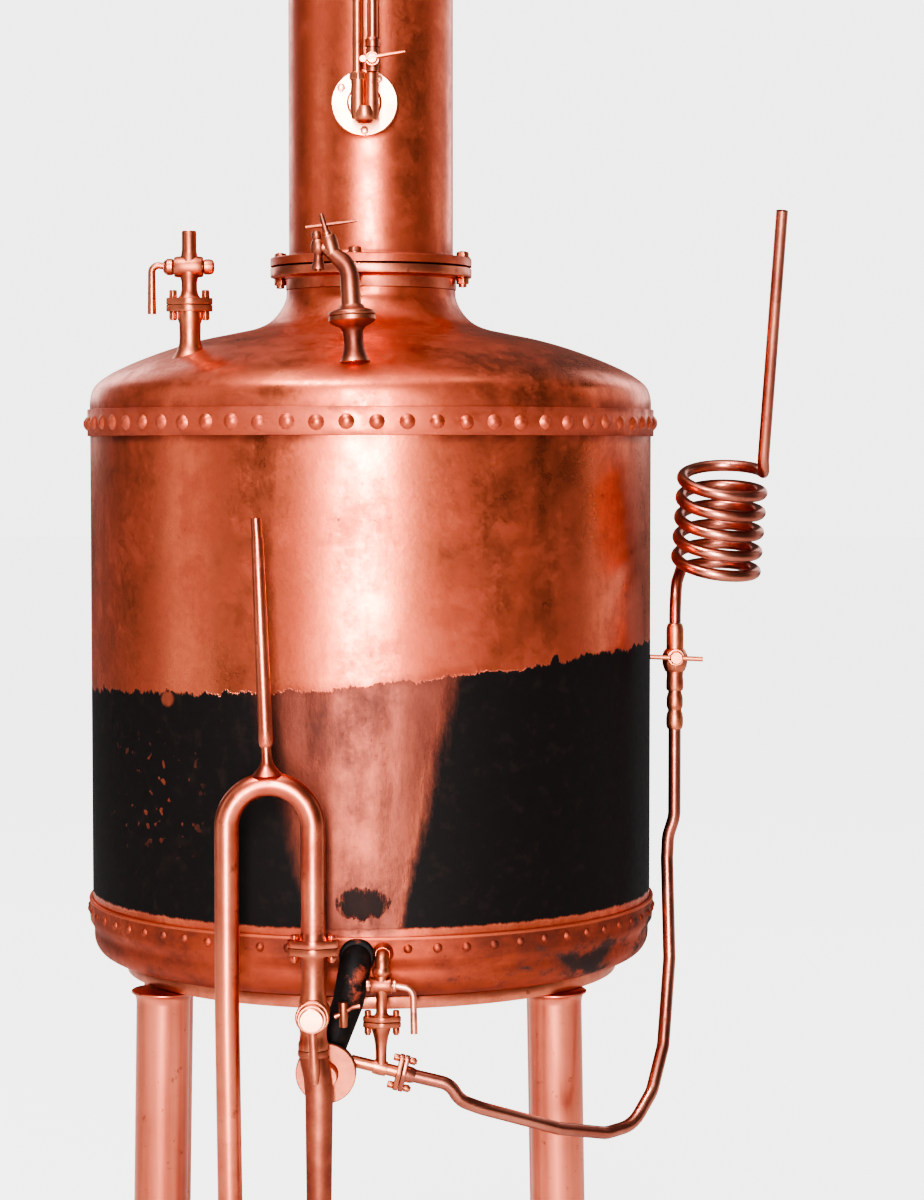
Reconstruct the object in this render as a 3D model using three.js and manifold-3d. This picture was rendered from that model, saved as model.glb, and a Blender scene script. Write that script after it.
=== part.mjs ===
// Alembic still: a riveted copper pot on four tubular legs, with a domed lid, a flanged
// rectifying column, plug cocks, a trapped drain and a gauge coil on a riser.
// Millimetres, +Z up. The origin is on the floor at the middle of the still's footprint.
import * as THREE from "three";
import { mergeVertices } from "three/addons/utils/BufferGeometryUtils.js";
import Module from "manifold-3d";

const wasm = await Module();
wasm.setup();

// ---------------------------------------------------------------- driving dimensions

const GAP = 0.3;              // clearance between neighbouring pieces
const AXIS_X = -54.8;          // pot axis, measured from the origin
const AXIS_Y = 44.6;
const SHELL_SIDES = 40;       // facets round the pot

const DRUM_RADIUS = 278.5;
const DRUM_WALL = 3;
const DRUM_BOTTOM = 509;
const DRUM_TOP = 996.5;
const STRAP_BOTTOM = 984.6;
const STRAP_TOP = 1010.8;
const STRAP_THICK = 2;
const STRAP_RIVETS = 64;
const RIVET_RADIUS = 7.6;
const RIVET_HEIGHT = 4.6;
const PAN_LAP_BOTTOM = 505;
const PAN_LAP_TOP = 528;
const PAN_RIVETS = 64;
const PAN_RIVET_RADIUS = 4.6;
const PAN_RIVET_HEIGHT = 2.6;
const PAN_WALL_RADIUS = 277;
const PAN_FLOOR_RADIUS = 245;
const PAN_FLOOR = 469;
const RING_OUTER = 245;
const RING_INNER = 222;
const RING_BOTTOM = 455;

const NECK_RADIUS = 84.5;
const FLANGE_RADIUS = 100;
const FLANGE_BOLT_RADIUS = 92;
const FLANGE_BOLT_ANGLES = [-8, 82, 172, 262];
const NECK_JOINT = 1151.5;
const COLUMN_RADIUS = 81.5;
const COLUMN_WALL = 3;
const COLUMN_TOP = 1540;
const PLATE_COUNT = 3;
const PLATE_PITCH = 105;
const FIRST_PLATE = 1205;

const LEG_RADIUS = 25.5;
const LEG_WALL = 3;
const LEG_TOP = RING_BOTTOM - 0.8;
const LEG_LEAN = THREE.MathUtils.degToRad(1);
const FOOT_RADIUS = 44;
const LEG_TOPS = {
  front_left: [-196, -140],
  front_right: [179.5, -140],
  rear_left: [-214, 95],
  rear_right: [183, 125],
};

const TRAP_RADIUS = 11;       // inverted-U trap pipe
const TRAP_LEFT = -118.6;
const TRAP_RIGHT = -42;
const TRAP_FRONT = 340;
const TRAP_CROWN = 675;
const TRAP_END = 58;
const DRAIN_X = -37;
const SMALL_COCK_X = 17.5;

const GAUGE_TUBE = 6;         // gauge tube and coil
const COIL_TURNS = 5.5;
const COIL_RADIUS = 38.4;
const COIL_PITCH = 19.7;
const COIL_FACETS = 12;
const COIL_CENTRE = [338.6, -100, 899];
const COIL_TO_VIEWER = THREE.MathUtils.degToRad(14);
const COIL_TO_RIGHT = THREE.MathUtils.degToRad(3);
const RISER_X = 296.5;
const RISER_FRONT = 100;

// ---------------------------------------------------------------- solids and transforms

const UP = new THREE.Vector3(0, 0, 1);

function vector(x, y, z) {
  return new THREE.Vector3(x, y, z);
}

function solid(geometry) {
  const bare = geometry.clone();
  bare.deleteAttribute("normal");
  bare.deleteAttribute("uv");
  const merged = mergeVertices(bare, 1e-4);
  const mesh = new wasm.Mesh({
    numProp: 3,
    vertProperties: Float32Array.from(merged.attributes.position.array),
    triVerts: Uint32Array.from(merged.index.array),
  });
  return new wasm.Manifold(mesh);
}

function geometryOf(body) {
  const mesh = body.getMesh();
  const geometry = new THREE.BufferGeometry();
  geometry.setAttribute("position", new THREE.BufferAttribute(mesh.vertProperties, 3));
  geometry.setIndex(new THREE.BufferAttribute(mesh.triVerts, 1));
  geometry.computeVertexNormals();
  return geometry;
}

function join(...pieces) {
  return geometryOf(pieces.map(solid).reduce((whole, next) => whole.add(next)));
}

function cut(piece, ...tools) {
  return geometryOf(tools.map(solid).reduce((whole, tool) => whole.subtract(tool), solid(piece)));
}

// A frame whose Z is the given direction and whose X lies as near as it can to `across`.
function frameAt(origin, direction, across = vector(1, 0, 0)) {
  const z = direction.clone().normalize();
  const x = across.clone().addScaledVector(z, -across.dot(z)).normalize();
  const y = new THREE.Vector3().crossVectors(z, x);
  return new THREE.Matrix4().makeBasis(x, y, z).setPosition(origin);
}

// ---------------------------------------------------------------- basic shapes

// A solid of revolution about Z from [radius, height] pairs in counter-clockwise order.
function revolve(profile, sides = SHELL_SIDES) {
  const points = profile.map(([radius, height]) => new THREE.Vector2(radius, height));
  if (points[0].x > 0) points.push(points[0].clone());
  return new THREE.LatheGeometry(points, sides).rotateX(Math.PI / 2);
}

function rod(from, to, radius, sides = 12, radiusEnd = radius) {
  const direction = to.clone().sub(from);
  const length = direction.length();
  const turn = new THREE.Quaternion().setFromUnitVectors(vector(0, 1, 0), direction.normalize());
  const middle = from.clone().add(to).multiplyScalar(0.5);
  const shape = new THREE.CylinderGeometry(radiusEnd, radius, length, sides);
  return shape.applyQuaternion(turn).translate(middle.x, middle.y, middle.z);
}

function box(width, depth, height, x, y, z) {
  return new THREE.BoxGeometry(width, depth, height).translate(x, y, z);
}

// A path whose sections stand exactly at the given points.
class BentPath extends THREE.Curve {
  constructor(points) {
    super();
    this.points = points;
  }
  getUtoTmapping(u) {
    return u;
  }
  getPoint(t, target = new THREE.Vector3()) {
    const along = t * (this.points.length - 1);
    const i = Math.min(Math.floor(along + 1e-6), this.points.length - 2);
    return target.copy(this.points[i]).lerp(this.points[i + 1], along - i);
  }
  getTangent(t, target = new THREE.Vector3()) {
    const last = this.points.length - 1;
    const i = Math.round(t * last);
    const ahead = this.points[Math.min(i + 1, last)];
    const behind = this.points[Math.max(i - 1, 0)];
    return target.copy(ahead).sub(behind).normalize();
  }
}

function pipe(points, radius, sides = 10) {
  const shape = new THREE.Shape().absarc(0, 0, radius, 0, Math.PI * 2);
  return new THREE.ExtrudeGeometry(shape, {
    steps: points.length - 1,
    curveSegments: sides / 2,
    bevelEnabled: false,
    extrudePath: new BentPath(points),
  });
}

// Rounds each inner corner of a route with an arc of the given bend radius.
function bends(corners, bendRadius, steps = 4) {
  const points = [corners[0].clone()];
  for (let i = 1; i < corners.length - 1; i += 1) {
    const corner = corners[i];
    const back = corners[i - 1].clone().sub(corner);
    const on = corners[i + 1].clone().sub(corner);
    const room = Math.min(back.length(), on.length()) * 0.49;
    back.normalize();
    on.normalize();
    const half = back.angleTo(on) / 2;
    const reach = Math.min(bendRadius / Math.tan(half), room);
    const radius = reach * Math.tan(half);
    const inward = back.clone().add(on).normalize();
    const centre = corner.clone().addScaledVector(inward, radius / Math.sin(half));
    const start = corner.clone().addScaledVector(back, reach).sub(centre);
    const end = corner.clone().addScaledVector(on, reach).sub(centre);
    const sweep = start.angleTo(end);
    for (let k = 0; k <= steps; k += 1) {
      const f = k / steps;
      const a = Math.sin((1 - f) * sweep) / Math.sin(sweep);
      const b = Math.sin(f * sweep) / Math.sin(sweep);
      points.push(centre.clone().addScaledVector(start, a).addScaledVector(end, b));
    }
  }
  points.push(corners[corners.length - 1].clone());
  return points;
}

// ---------------------------------------------------------------- pot and lid profiles

const PAN_OUTER = [
  [0, PAN_FLOOR - 3],
  [PAN_FLOOR_RADIUS + 6, PAN_FLOOR - 1],
  [PAN_FLOOR_RADIUS + 22, PAN_FLOOR + 5],
  [PAN_WALL_RADIUS, PAN_FLOOR + 19],
  [PAN_WALL_RADIUS, PAN_LAP_BOTTOM - 5],
  [DRUM_RADIUS + 3, PAN_LAP_BOTTOM],
  [DRUM_RADIUS + 3, PAN_LAP_TOP],
];
const LID_OUTER = [
  [DRUM_RADIUS, DRUM_TOP + 0.6],
  [DRUM_RADIUS, 1021],
  [272.5, 1035],
  [241.5, 1054],
  [192.5, 1073],
  [112, 1091],
  [96, 1101],
  [NECK_RADIUS, 1129],
];

// The pot and lid swollen by the working gap, to trim what stands on them.
const potTool = revolve([
  [0, PAN_FLOOR - 3 - GAP],
  ...PAN_OUTER.slice(1).map(([r, z]) => [r + GAP * 1.6, z - GAP]),
  [DRUM_RADIUS + 3 + GAP * 1.6, PAN_LAP_TOP + GAP],
  [DRUM_RADIUS + GAP * 1.6, PAN_LAP_TOP + GAP],
  [DRUM_RADIUS + GAP * 1.6, DRUM_TOP],
  ...LID_OUTER.slice(1).map(([r, z]) => [r + GAP, z + GAP]),
  [0, 1129 + GAP],
]);
const columnTool = revolve([
  [0, 1165],
  [COLUMN_RADIUS + GAP, 1165],
  [COLUMN_RADIUS + GAP, 1529],
  [0, 1529],
]);

// ---------------------------------------------------------------- rivets, bolts, joints

function rivet(radius, height, ring, angle, z) {
  const head = new THREE.CylinderGeometry(radius * 0.5, radius * 1.1, height + 1.6, 4);
  head.rotateY(Math.PI / 4).translate(0, height / 2 - 0.8, 0);
  head.rotateZ(-Math.PI / 2);
  head.translate(ring, 0, 0);
  return head.rotateZ(angle).translate(0, 0, z);
}

// Rivets are left out where a fitting covers the seam (x within `clear` of `blocked`, front).
function rivetRow(count, radius, height, ring, z, blocked = 0, clear = 0) {
  const heads = [];
  for (let i = 0; i < count; i += 1) {
    const angle = ((i + 0.5) * Math.PI * 2) / count;
    const covered = Math.sin(angle) < 0 && Math.abs(ring * Math.cos(angle) - blocked) < clear;
    if (!covered) heads.push(rivet(radius, height, ring, angle, z));
  }
  return heads;
}

// A bolt with its nut, clamped from `low` to `high` along the frame's Z.
function bolt(low, high, shank, head, headHeight, tip = 0) {
  const parts = [
    rod(vector(0, 0, low - headHeight / 2 - tip), vector(0, 0, high + headHeight / 2), shank, 8),
    rod(vector(0, 0, high), vector(0, 0, high + headHeight), head, 6),
    rod(vector(0, 0, low - headHeight), vector(0, 0, low), head, 6),
  ];
  return join(...parts);
}

// A two-bolt oval flange joint in its own frame: the joint face is at z = 0, the bolts lie
// along X. The near half holds the bolts and nuts, the far half has clearance holes.
function ovalJoint({ spread, round, thick, shank, head, headHeight }) {
  const oval = (low, high) => {
    const shape = new THREE.Shape().absellipse(0, 0, spread + head * 1.15, round, 0, Math.PI * 2);
    const plate = new THREE.ExtrudeGeometry(shape, {
      depth: high - low,
      curveSegments: 8,
      bevelEnabled: false,
    });
    return plate.translate(0, 0, low);
  };
  const near = [oval(GAP / 2, thick)];
  let far = oval(-thick, -GAP / 2);
  for (const side of [-1, 1]) {
    near.push(bolt(-thick - GAP, thick - 0.2, shank, head, headHeight).translate(side * spread, 0, 0));
    const hole = rod(vector(side * spread, 0, -thick - 1), vector(side * spread, 0, 1), shank + 2 * GAP, 8);
    far = cut(far, hole);
  }
  return { near: join(...near), far };
}

function moved(geometry, matrix) {
  return geometry.clone().applyMatrix4(matrix);
}

// A plug cock's moving plug in its own frame: the plug lies along Z and its handle end is +Z.
function plugStem({ bore, back, front, nut, nutHeight, cap, capHeight }) {
  return join(
    rod(vector(0, 0, -back - GAP - nutHeight), vector(0, 0, front + GAP + capHeight), bore - GAP, 14),
    rod(vector(0, 0, -back - GAP - nutHeight), vector(0, 0, -back - GAP), nut, 6),
    rod(vector(0, 0, front + GAP), vector(0, 0, front + GAP + capHeight), cap, 14),
  );
}

// ---------------------------------------------------------------- the group

const COPPER = { color: 0xb5513a, roughness: 0.38, metalness: 1 };
const SOOTED_COPPER = { color: 0x8a3f30, roughness: 0.55, metalness: 0.9 };
const BRASS = { color: 0xb8703f, roughness: 0.36, metalness: 1 };
const BRONZE = { color: 0x96502f, roughness: 0.45, metalness: 1 };
const IRON = { color: 0x4c3a34, roughness: 0.6, metalness: 0.8 };
const GASKET = { color: 0x2c211d, roughness: 0.9, metalness: 0 };

const group = new THREE.Group();

function add(name, geometry, look) {
  const mesh = new THREE.Mesh(geometry, new THREE.MeshStandardMaterial(look));
  mesh.name = name;
  mesh.position.set(AXIS_X, AXIS_Y, 0);
  group.add(mesh);
}

// ---------------------------------------------------------------- pot

add("pot_drum", revolve([
  [DRUM_RADIUS - DRUM_WALL, DRUM_BOTTOM],
  [DRUM_RADIUS, DRUM_BOTTOM],
  [DRUM_RADIUS, DRUM_TOP],
  [DRUM_RADIUS - DRUM_WALL, DRUM_TOP],
]), COPPER);

const strapInner = DRUM_RADIUS + GAP * 1.6;
const strapOuter = strapInner + STRAP_THICK;
const strapBand = revolve([
  [strapInner, STRAP_BOTTOM],
  [strapOuter, STRAP_BOTTOM],
  [strapOuter, STRAP_TOP],
  [strapInner, STRAP_TOP],
]);
const strapRivets = rivetRow(STRAP_RIVETS, RIVET_RADIUS, RIVET_HEIGHT, strapOuter - 0.5, 997);
add("seam_strap", join(strapBand, ...strapRivets), COPPER);

add("lid_dome", revolve([
  ...LID_OUTER,
  [NECK_RADIUS - 3, 1129],
  [93.5, 1098.5],
  [111, 1087.5],
  [191, 1069.5],
  [239.5, 1050.5],
  [DRUM_RADIUS - 3, 1020],
  [DRUM_RADIUS - 3, DRUM_TOP + 0.6],
]), COPPER);

// The pan laps outside the drum, is stepped in below it and rounds in to a shallow floor.
const panShell = revolve([
  ...PAN_OUTER,
  [DRUM_RADIUS + GAP * 1.6, PAN_LAP_TOP],
  [DRUM_RADIUS + GAP * 1.6, PAN_LAP_BOTTOM + 3],
  [PAN_WALL_RADIUS - 3, PAN_LAP_BOTTOM - 1],
  [PAN_WALL_RADIUS - 3, PAN_FLOOR + 20],
  [PAN_FLOOR_RADIUS + 4, PAN_FLOOR + 3],
  [0, PAN_FLOOR + 1],
]);
const panRivets = rivetRow(
  PAN_RIVETS, PAN_RIVET_RADIUS, PAN_RIVET_HEIGHT, DRUM_RADIUS + 2.6, 517, 5.5, 27,
);
add("pot_pan", join(panShell, ...panRivets), SOOTED_COPPER);

add("base_ring", revolve([
  [RING_INNER, RING_BOTTOM],
  [RING_OUTER, RING_BOTTOM],
  [RING_OUTER, PAN_FLOOR - 1.6],
  [RING_INNER, PAN_FLOOR - 2],
]), BRONZE);

// Perforated false bottom standing on four stub feet inside the pan.
function perforatedPlate(radius, rings, holeRadius, thick, centreHole) {
  const shape = new THREE.Shape().absarc(0, 0, radius, 0, Math.PI * 2);
  for (const [ringRadius, count] of rings) {
    for (let i = 0; i < count; i += 1) {
      const angle = ((i + 0.5) * Math.PI * 2) / count;
      const hole = new THREE.Path();
      const x = ringRadius * Math.cos(angle);
      const y = ringRadius * Math.sin(angle);
      for (let k = 0; k < 6; k += 1) {
        const turn = (-k * Math.PI) / 3;
        const px = x + holeRadius * Math.cos(turn);
        const py = y + holeRadius * Math.sin(turn);
        if (k) hole.lineTo(px, py);
        else hole.moveTo(px, py);
      }
      hole.closePath();
      shape.holes.push(hole);
    }
  }
  if (centreHole) {
    shape.holes.push(new THREE.Path().absarc(0, 0, centreHole, 0, Math.PI * 2, true));
  }
  return new THREE.ExtrudeGeometry(shape, { depth: thick, curveSegments: 12, bevelEnabled: false });
}

const falseBottomLegs = [45, 135, 225, 315].map((degrees) => {
  const angle = THREE.MathUtils.degToRad(degrees);
  const x = 215 * Math.cos(angle);
  const y = 215 * Math.sin(angle);
  return rod(vector(x, y, PAN_FLOOR + 4), vector(x, y, 511), 8, 8);
});
const falseBottomPlate = perforatedPlate(268, [[85, 6], [175, 12]], 14, 3);
add("false_bottom", join(falseBottomPlate.translate(0, 0, 510), ...falseBottomLegs), COPPER);

// ---------------------------------------------------------------- neck flanges and column

function flangeHoles(low, high) {
  return FLANGE_BOLT_ANGLES.map((degrees) => {
    const angle = THREE.MathUtils.degToRad(degrees);
    const x = FLANGE_BOLT_RADIUS * Math.cos(angle);
    const y = FLANGE_BOLT_RADIUS * Math.sin(angle);
    return rod(vector(x, y, low), vector(x, y, high), 4.5, 8);
  });
}

const neckFlange = revolve([
  [NECK_RADIUS - 7, 1116],
  [NECK_RADIUS - 4, 1116],
  [NECK_RADIUS - 4, 1129 + GAP],
  [NECK_RADIUS, 1129 + GAP],
  [NECK_RADIUS, 1142],
  [FLANGE_RADIUS, 1142],
  [FLANGE_RADIUS, NECK_JOINT - 0.6],
  [NECK_RADIUS - 7, NECK_JOINT - 0.6],
], 28);
add("neck_flange", cut(neckFlange, ...flangeHoles(1130, 1160)), BRONZE);

add("neck_gasket", revolve([
  [NECK_RADIUS - 7, NECK_JOINT - GAP],
  [FLANGE_BOLT_RADIUS - 5, NECK_JOINT - GAP],
  [FLANGE_BOLT_RADIUS - 5, NECK_JOINT + 0.9],
  [NECK_RADIUS - 7, NECK_JOINT + 0.9],
], 28), GASKET);

const columnShell = revolve([
  [COLUMN_RADIUS - COLUMN_WALL, NECK_JOINT + 1.2],
  [FLANGE_RADIUS, NECK_JOINT + 1.2],
  [FLANGE_RADIUS, 1161],
  [COLUMN_RADIUS, 1161],
  [COLUMN_RADIUS, COLUMN_TOP - 9],
  [FLANGE_RADIUS, COLUMN_TOP - 9],
  [FLANGE_RADIUS, COLUMN_TOP],
  [COLUMN_RADIUS - COLUMN_WALL, COLUMN_TOP],
], 28);
const columnHoles = [...flangeHoles(1145, 1170), ...flangeHoles(1520, 1550)];
add("column_shell", cut(columnShell, ...columnHoles), COPPER);

FLANGE_BOLT_ANGLES.forEach((degrees, i) => {
  const angle = THREE.MathUtils.degToRad(degrees);
  const x = FLANGE_BOLT_RADIUS * Math.cos(angle);
  const y = FLANGE_BOLT_RADIUS * Math.sin(angle);
  const shape = bolt(1142 - GAP, 1161 + GAP, 4, 6.6, 6.5, 5.4);
  add(`neck_bolt_${i + 1}`, shape.translate(x, y, 0), BRASS);
});

// Perforated plates threaded on a tie rod that stands on a spider in the neck.
for (let i = 0; i < PLATE_COUNT; i += 1) {
  const plate = perforatedPlate(COLUMN_RADIUS - COLUMN_WALL - 1.2, [[43, 6]], 12, 3, 5.4);
  add(`column_plate_${i + 1}`, plate.translate(0, 0, FIRST_PLATE + i * PLATE_PITCH), COPPER);
}
const tieCollars = [];
for (let i = 0; i < PLATE_COUNT; i += 1) {
  const z = FIRST_PLATE + i * PLATE_PITCH;
  tieCollars.push(rod(vector(0, 0, z - GAP - 8), vector(0, 0, z - GAP), 10, 10));
  tieCollars.push(rod(vector(0, 0, z + 3 + GAP), vector(0, 0, z + 11), 8.5, 6));
}
const tieSpider = box(148, 10, 6, 0, 0, 1166);
const tieCross = box(10, 148, 6, 0, 0, 1166);
const tieRod = rod(vector(0, 0, 1160), vector(0, 0, FIRST_PLATE + 2 * PLATE_PITCH + 24), 5, 10);
add("plate_tie_rod", join(tieRod, tieSpider, tieCross, ...tieCollars), BRASS);

// ---------------------------------------------------------------- head and swan neck

add("head_gasket", revolve([
  [COLUMN_RADIUS - COLUMN_WALL, COLUMN_TOP + GAP],
  [FLANGE_BOLT_RADIUS - 5, COLUMN_TOP + GAP],
  [FLANGE_BOLT_RADIUS - 5, COLUMN_TOP + 1.5],
  [COLUMN_RADIUS - COLUMN_WALL, COLUMN_TOP + 1.5],
], 28), GASKET);

const headBase = COLUMN_TOP + 1.8;
const headDome = revolve([
  [COLUMN_RADIUS - COLUMN_WALL, headBase],
  [FLANGE_RADIUS, headBase],
  [FLANGE_RADIUS, headBase + 9],
  [COLUMN_RADIUS, headBase + 9],
  [79, headBase + 27],
  [60, headBase + 52],
  [34, headBase + 66],
  [34, headBase + 72],
  [42, headBase + 72],
  [42, headBase + 77],
  [28, headBase + 77],
  [28, headBase + 64],
  [57, headBase + 49],
  [75, headBase + 26],
], 24);
const headBolts = FLANGE_BOLT_ANGLES.map((degrees) => {
  const angle = THREE.MathUtils.degToRad(degrees);
  const x = FLANGE_BOLT_RADIUS * Math.cos(angle);
  const y = FLANGE_BOLT_RADIUS * Math.sin(angle);
  return bolt(COLUMN_TOP - 9 - GAP, headBase + 8.8, 4, 6.6, 6.5).translate(x, y, 0);
});
add("head_dome", join(headDome, ...headBolts), COPPER);

// The vapour pipe rises from the head, arches over to the right and ends in a flange.
const swanStart = headBase + 77 + GAP;
const swanRoute = bends([
  vector(0, 0, swanStart),
  vector(0, 0, swanStart + 104),
  vector(170, 0, swanStart + 104),
  vector(236, 0, swanStart + 52),
], 82, 3);
const swanAlong = vector(66, 0, -52).normalize();
const swanEnd = vector(236, 0, swanStart + 52);
const swanFlange = rod(swanEnd.clone().addScaledVector(swanAlong, -6), swanEnd, 42, 18);
const swanFoot = rod(vector(0, 0, swanStart), vector(0, 0, swanStart + 6), 42, 18);
const swanBore = [
  vector(0, 0, swanStart - 5),
  ...swanRoute.slice(1, -1),
  swanEnd.clone().addScaledVector(swanAlong, 5),
];
add("swan_neck", cut(
  join(pipe(swanRoute, 27, 12), swanFlange, swanFoot),
  pipe(swanBore, 24.2, 12),
), COPPER);

// ---------------------------------------------------------------- legs and feet

for (const [name, [x, y]] of Object.entries(LEG_TOPS)) {
  const length = LEG_TOP - 9;
  const tube = revolve([
    [0, -5],
    [LEG_RADIUS - LEG_WALL, -5],
    [LEG_RADIUS - LEG_WALL, -length],
    [LEG_RADIUS, -length],
    [LEG_RADIUS, -3],
    [LEG_RADIUS + 5, -3],
    [LEG_RADIUS + 5, 0],
    [0, 0],
  ], 16);
  const outward = vector(Math.sign(x), 0, 0);
  const lean = vector(outward.x * -Math.sin(LEG_LEAN), 0, Math.cos(LEG_LEAN));
  add(`leg_${name}`, moved(tube, frameAt(vector(x, y, LEG_TOP), lean)), BRONZE);
  const footX = x + outward.x * Math.sin(LEG_LEAN) * (length - 12);
  const shoe = revolve([
    [0, 0],
    [FOOT_RADIUS, 0],
    [FOOT_RADIUS, 7],
    [LEG_RADIUS + 8, 11],
    [LEG_RADIUS + 6, 34],
    [LEG_RADIUS + 1.6, 34],
    [LEG_RADIUS + 1.6, 8],
    [0, 8],
  ], 16);
  add(`foot_${name}`, shoe.translate(footX, y, 0), IRON);
}

// ---------------------------------------------------------------- inverted-U trap

const trapTop = TRAP_CROWN;
const trapHalf = (TRAP_RIGHT - TRAP_LEFT) / 2;
const trapMiddle = (TRAP_RIGHT + TRAP_LEFT) / 2;
const trapFoot = vector(TRAP_LEFT + 5, -TRAP_FRONT, TRAP_END);
const trapJoint = 529;
const trapRoute = [trapFoot, vector(TRAP_LEFT, -TRAP_FRONT, 470)];
for (let k = 0; k <= 10; k += 1) {
  const angle = Math.PI * (1 - k / 10);
  const x = trapMiddle + trapHalf * Math.cos(angle);
  trapRoute.push(vector(x, -TRAP_FRONT, trapTop - trapHalf + trapHalf * Math.sin(angle)));
}
trapRoute.push(vector(TRAP_RIGHT, -TRAP_FRONT, trapJoint + 7));
const trapOval = ovalJoint({ spread: 16.5, round: 12.5, thick: 7, shank: 2.6, head: 4.4, headHeight: 4 });
const trapFrame = frameAt(vector(TRAP_RIGHT, -TRAP_FRONT, trapJoint), UP);
const trapMouth = rod(
  trapFoot.clone().add(vector(0, 0, -2)),
  trapFoot.clone().add(vector(-0.2, 0, 16)),
  8,
  12,
);
add("trap_pipe", cut(
  join(pipe(trapRoute, TRAP_RADIUS, 10), moved(trapOval.near, trapFrame)),
  trapMouth,
), COPPER);

// Air vent standing on the crown: conical saddle, tube and a thin open spigot.
const ventFoot = vector(trapMiddle - 2, -TRAP_FRONT, trapTop + 8);
const ventShoulder = vector(-90.4, -TRAP_FRONT, 893);
const ventTip = vector(-91.6, -TRAP_FRONT, 911);
const ventRise = ventShoulder.clone().sub(ventFoot).normalize();
const ventSaddle = ventFoot.clone().addScaledVector(ventRise, 14);
const ventStep = ventFoot.clone().addScaledVector(ventRise, 27);
const crownTool = pipe(trapRoute, TRAP_RADIUS + GAP, 10);
add("vent_tube", cut(
  join(
    rod(ventFoot, ventStep, 4.6, 8),
    rod(ventFoot, ventSaddle, 13, 10, 4.9),
    rod(ventStep, ventShoulder, 6.5, 8, 5.3),
    rod(ventShoulder, ventTip, 4.6, 8),
  ),
  crownTool,
  rod(ventTip.clone().addScaledVector(ventRise, -18), ventTip.clone().addScaledVector(ventRise, 2), 3.2, 8),
), COPPER);

// ---------------------------------------------------------------- main drain cock

const mainPlugZ = 469.5;
const mainBody = join(
  moved(trapOval.far, trapFrame),
  rod(vector(TRAP_RIGHT, -TRAP_FRONT, trapJoint - 4), vector(TRAP_RIGHT, -TRAP_FRONT, 488), 10.5, 10),
  rod(vector(TRAP_RIGHT, -TRAP_FRONT, 496), vector(TRAP_RIGHT, -TRAP_FRONT, 438), 12.4, 10),
  rod(vector(TRAP_RIGHT, -TRAP_FRONT + 17, mainPlugZ), vector(TRAP_RIGHT, -TRAP_FRONT - 19, mainPlugZ), 15.5, 14),
);
const mainBore = rod(
  vector(TRAP_RIGHT, -TRAP_FRONT + 30, mainPlugZ),
  vector(TRAP_RIGHT, -TRAP_FRONT - 40, mainPlugZ),
  9,
  14,
);
add("main_cock_body", cut(mainBody, mainBore), BRASS);

const mainFrame = frameAt(vector(TRAP_RIGHT, -TRAP_FRONT, mainPlugZ), vector(0, -1, 0));
add("main_cock_plug", moved(join(
  rod(vector(0, 0, -17 - GAP - 6), vector(0, 0, 34), 9 - GAP, 10),
  rod(vector(0, 0, -17 - GAP - 6), vector(0, 0, -17 - GAP), 12.5, 6),
  rod(vector(0, 0, 28 + GAP), vector(0, 0, 34), 10.8, 14),
), mainFrame), BRASS);

// The lever is a ring on the plug's stem with a tapered arm hanging from it.
const leverShape = new THREE.Shape();
leverShape.moveTo(-3.4, -8);
leverShape.lineTo(-4.2, -50);
leverShape.lineTo(-3, -58);
leverShape.lineTo(3, -58);
leverShape.lineTo(4.2, -50);
leverShape.lineTo(3.4, -8);
leverShape.closePath();
const leverArm = new THREE.ExtrudeGeometry(leverShape, { depth: 5, bevelEnabled: false });
const leverRing = rod(vector(0, 0, 19 + GAP), vector(0, 0, 28), 13.2, 18);
const leverHole = rod(vector(0, 0, 10), vector(0, 0, 40), 9, 14);
const lever = cut(join(leverArm.translate(0, 0, 21), leverRing), leverHole);
const leverFrame = frameAt(
  vector(TRAP_RIGHT, -TRAP_FRONT, mainPlugZ),
  vector(0, -1, 0),
  vector(1, 0, -0.05),
);
add("main_cock_lever", moved(lever, leverFrame), BRASS);

// ---------------------------------------------------------------- pan outlet and drain pipe

const discZ = 412;
const discRadius = 27.2;
const outletRadius = 14;
const outletRoute = bends([
  vector(-5, -235, 511),
  vector(-5.5, -290, 511),
  vector(-13, -290, 470),
  vector(-30, -288, 428),
  vector(-31.8, -304, discZ),
], 20, 2);
const discFrame = frameAt(vector(-31.8, -317, discZ), vector(0, -1, 0));
const rearDisc = moved(rod(vector(0, 0, -6), vector(0, 0, -GAP / 2), discRadius, 24), discFrame);
const outletStub = rod(vector(-31.8, -302, discZ), vector(-31.8, -314, discZ), 15, 8);
add("pan_outlet", cut(join(
  pipe(outletRoute, outletRadius, 8),
  rearDisc,
  outletStub,
), potTool), SOOTED_COPPER);

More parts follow.
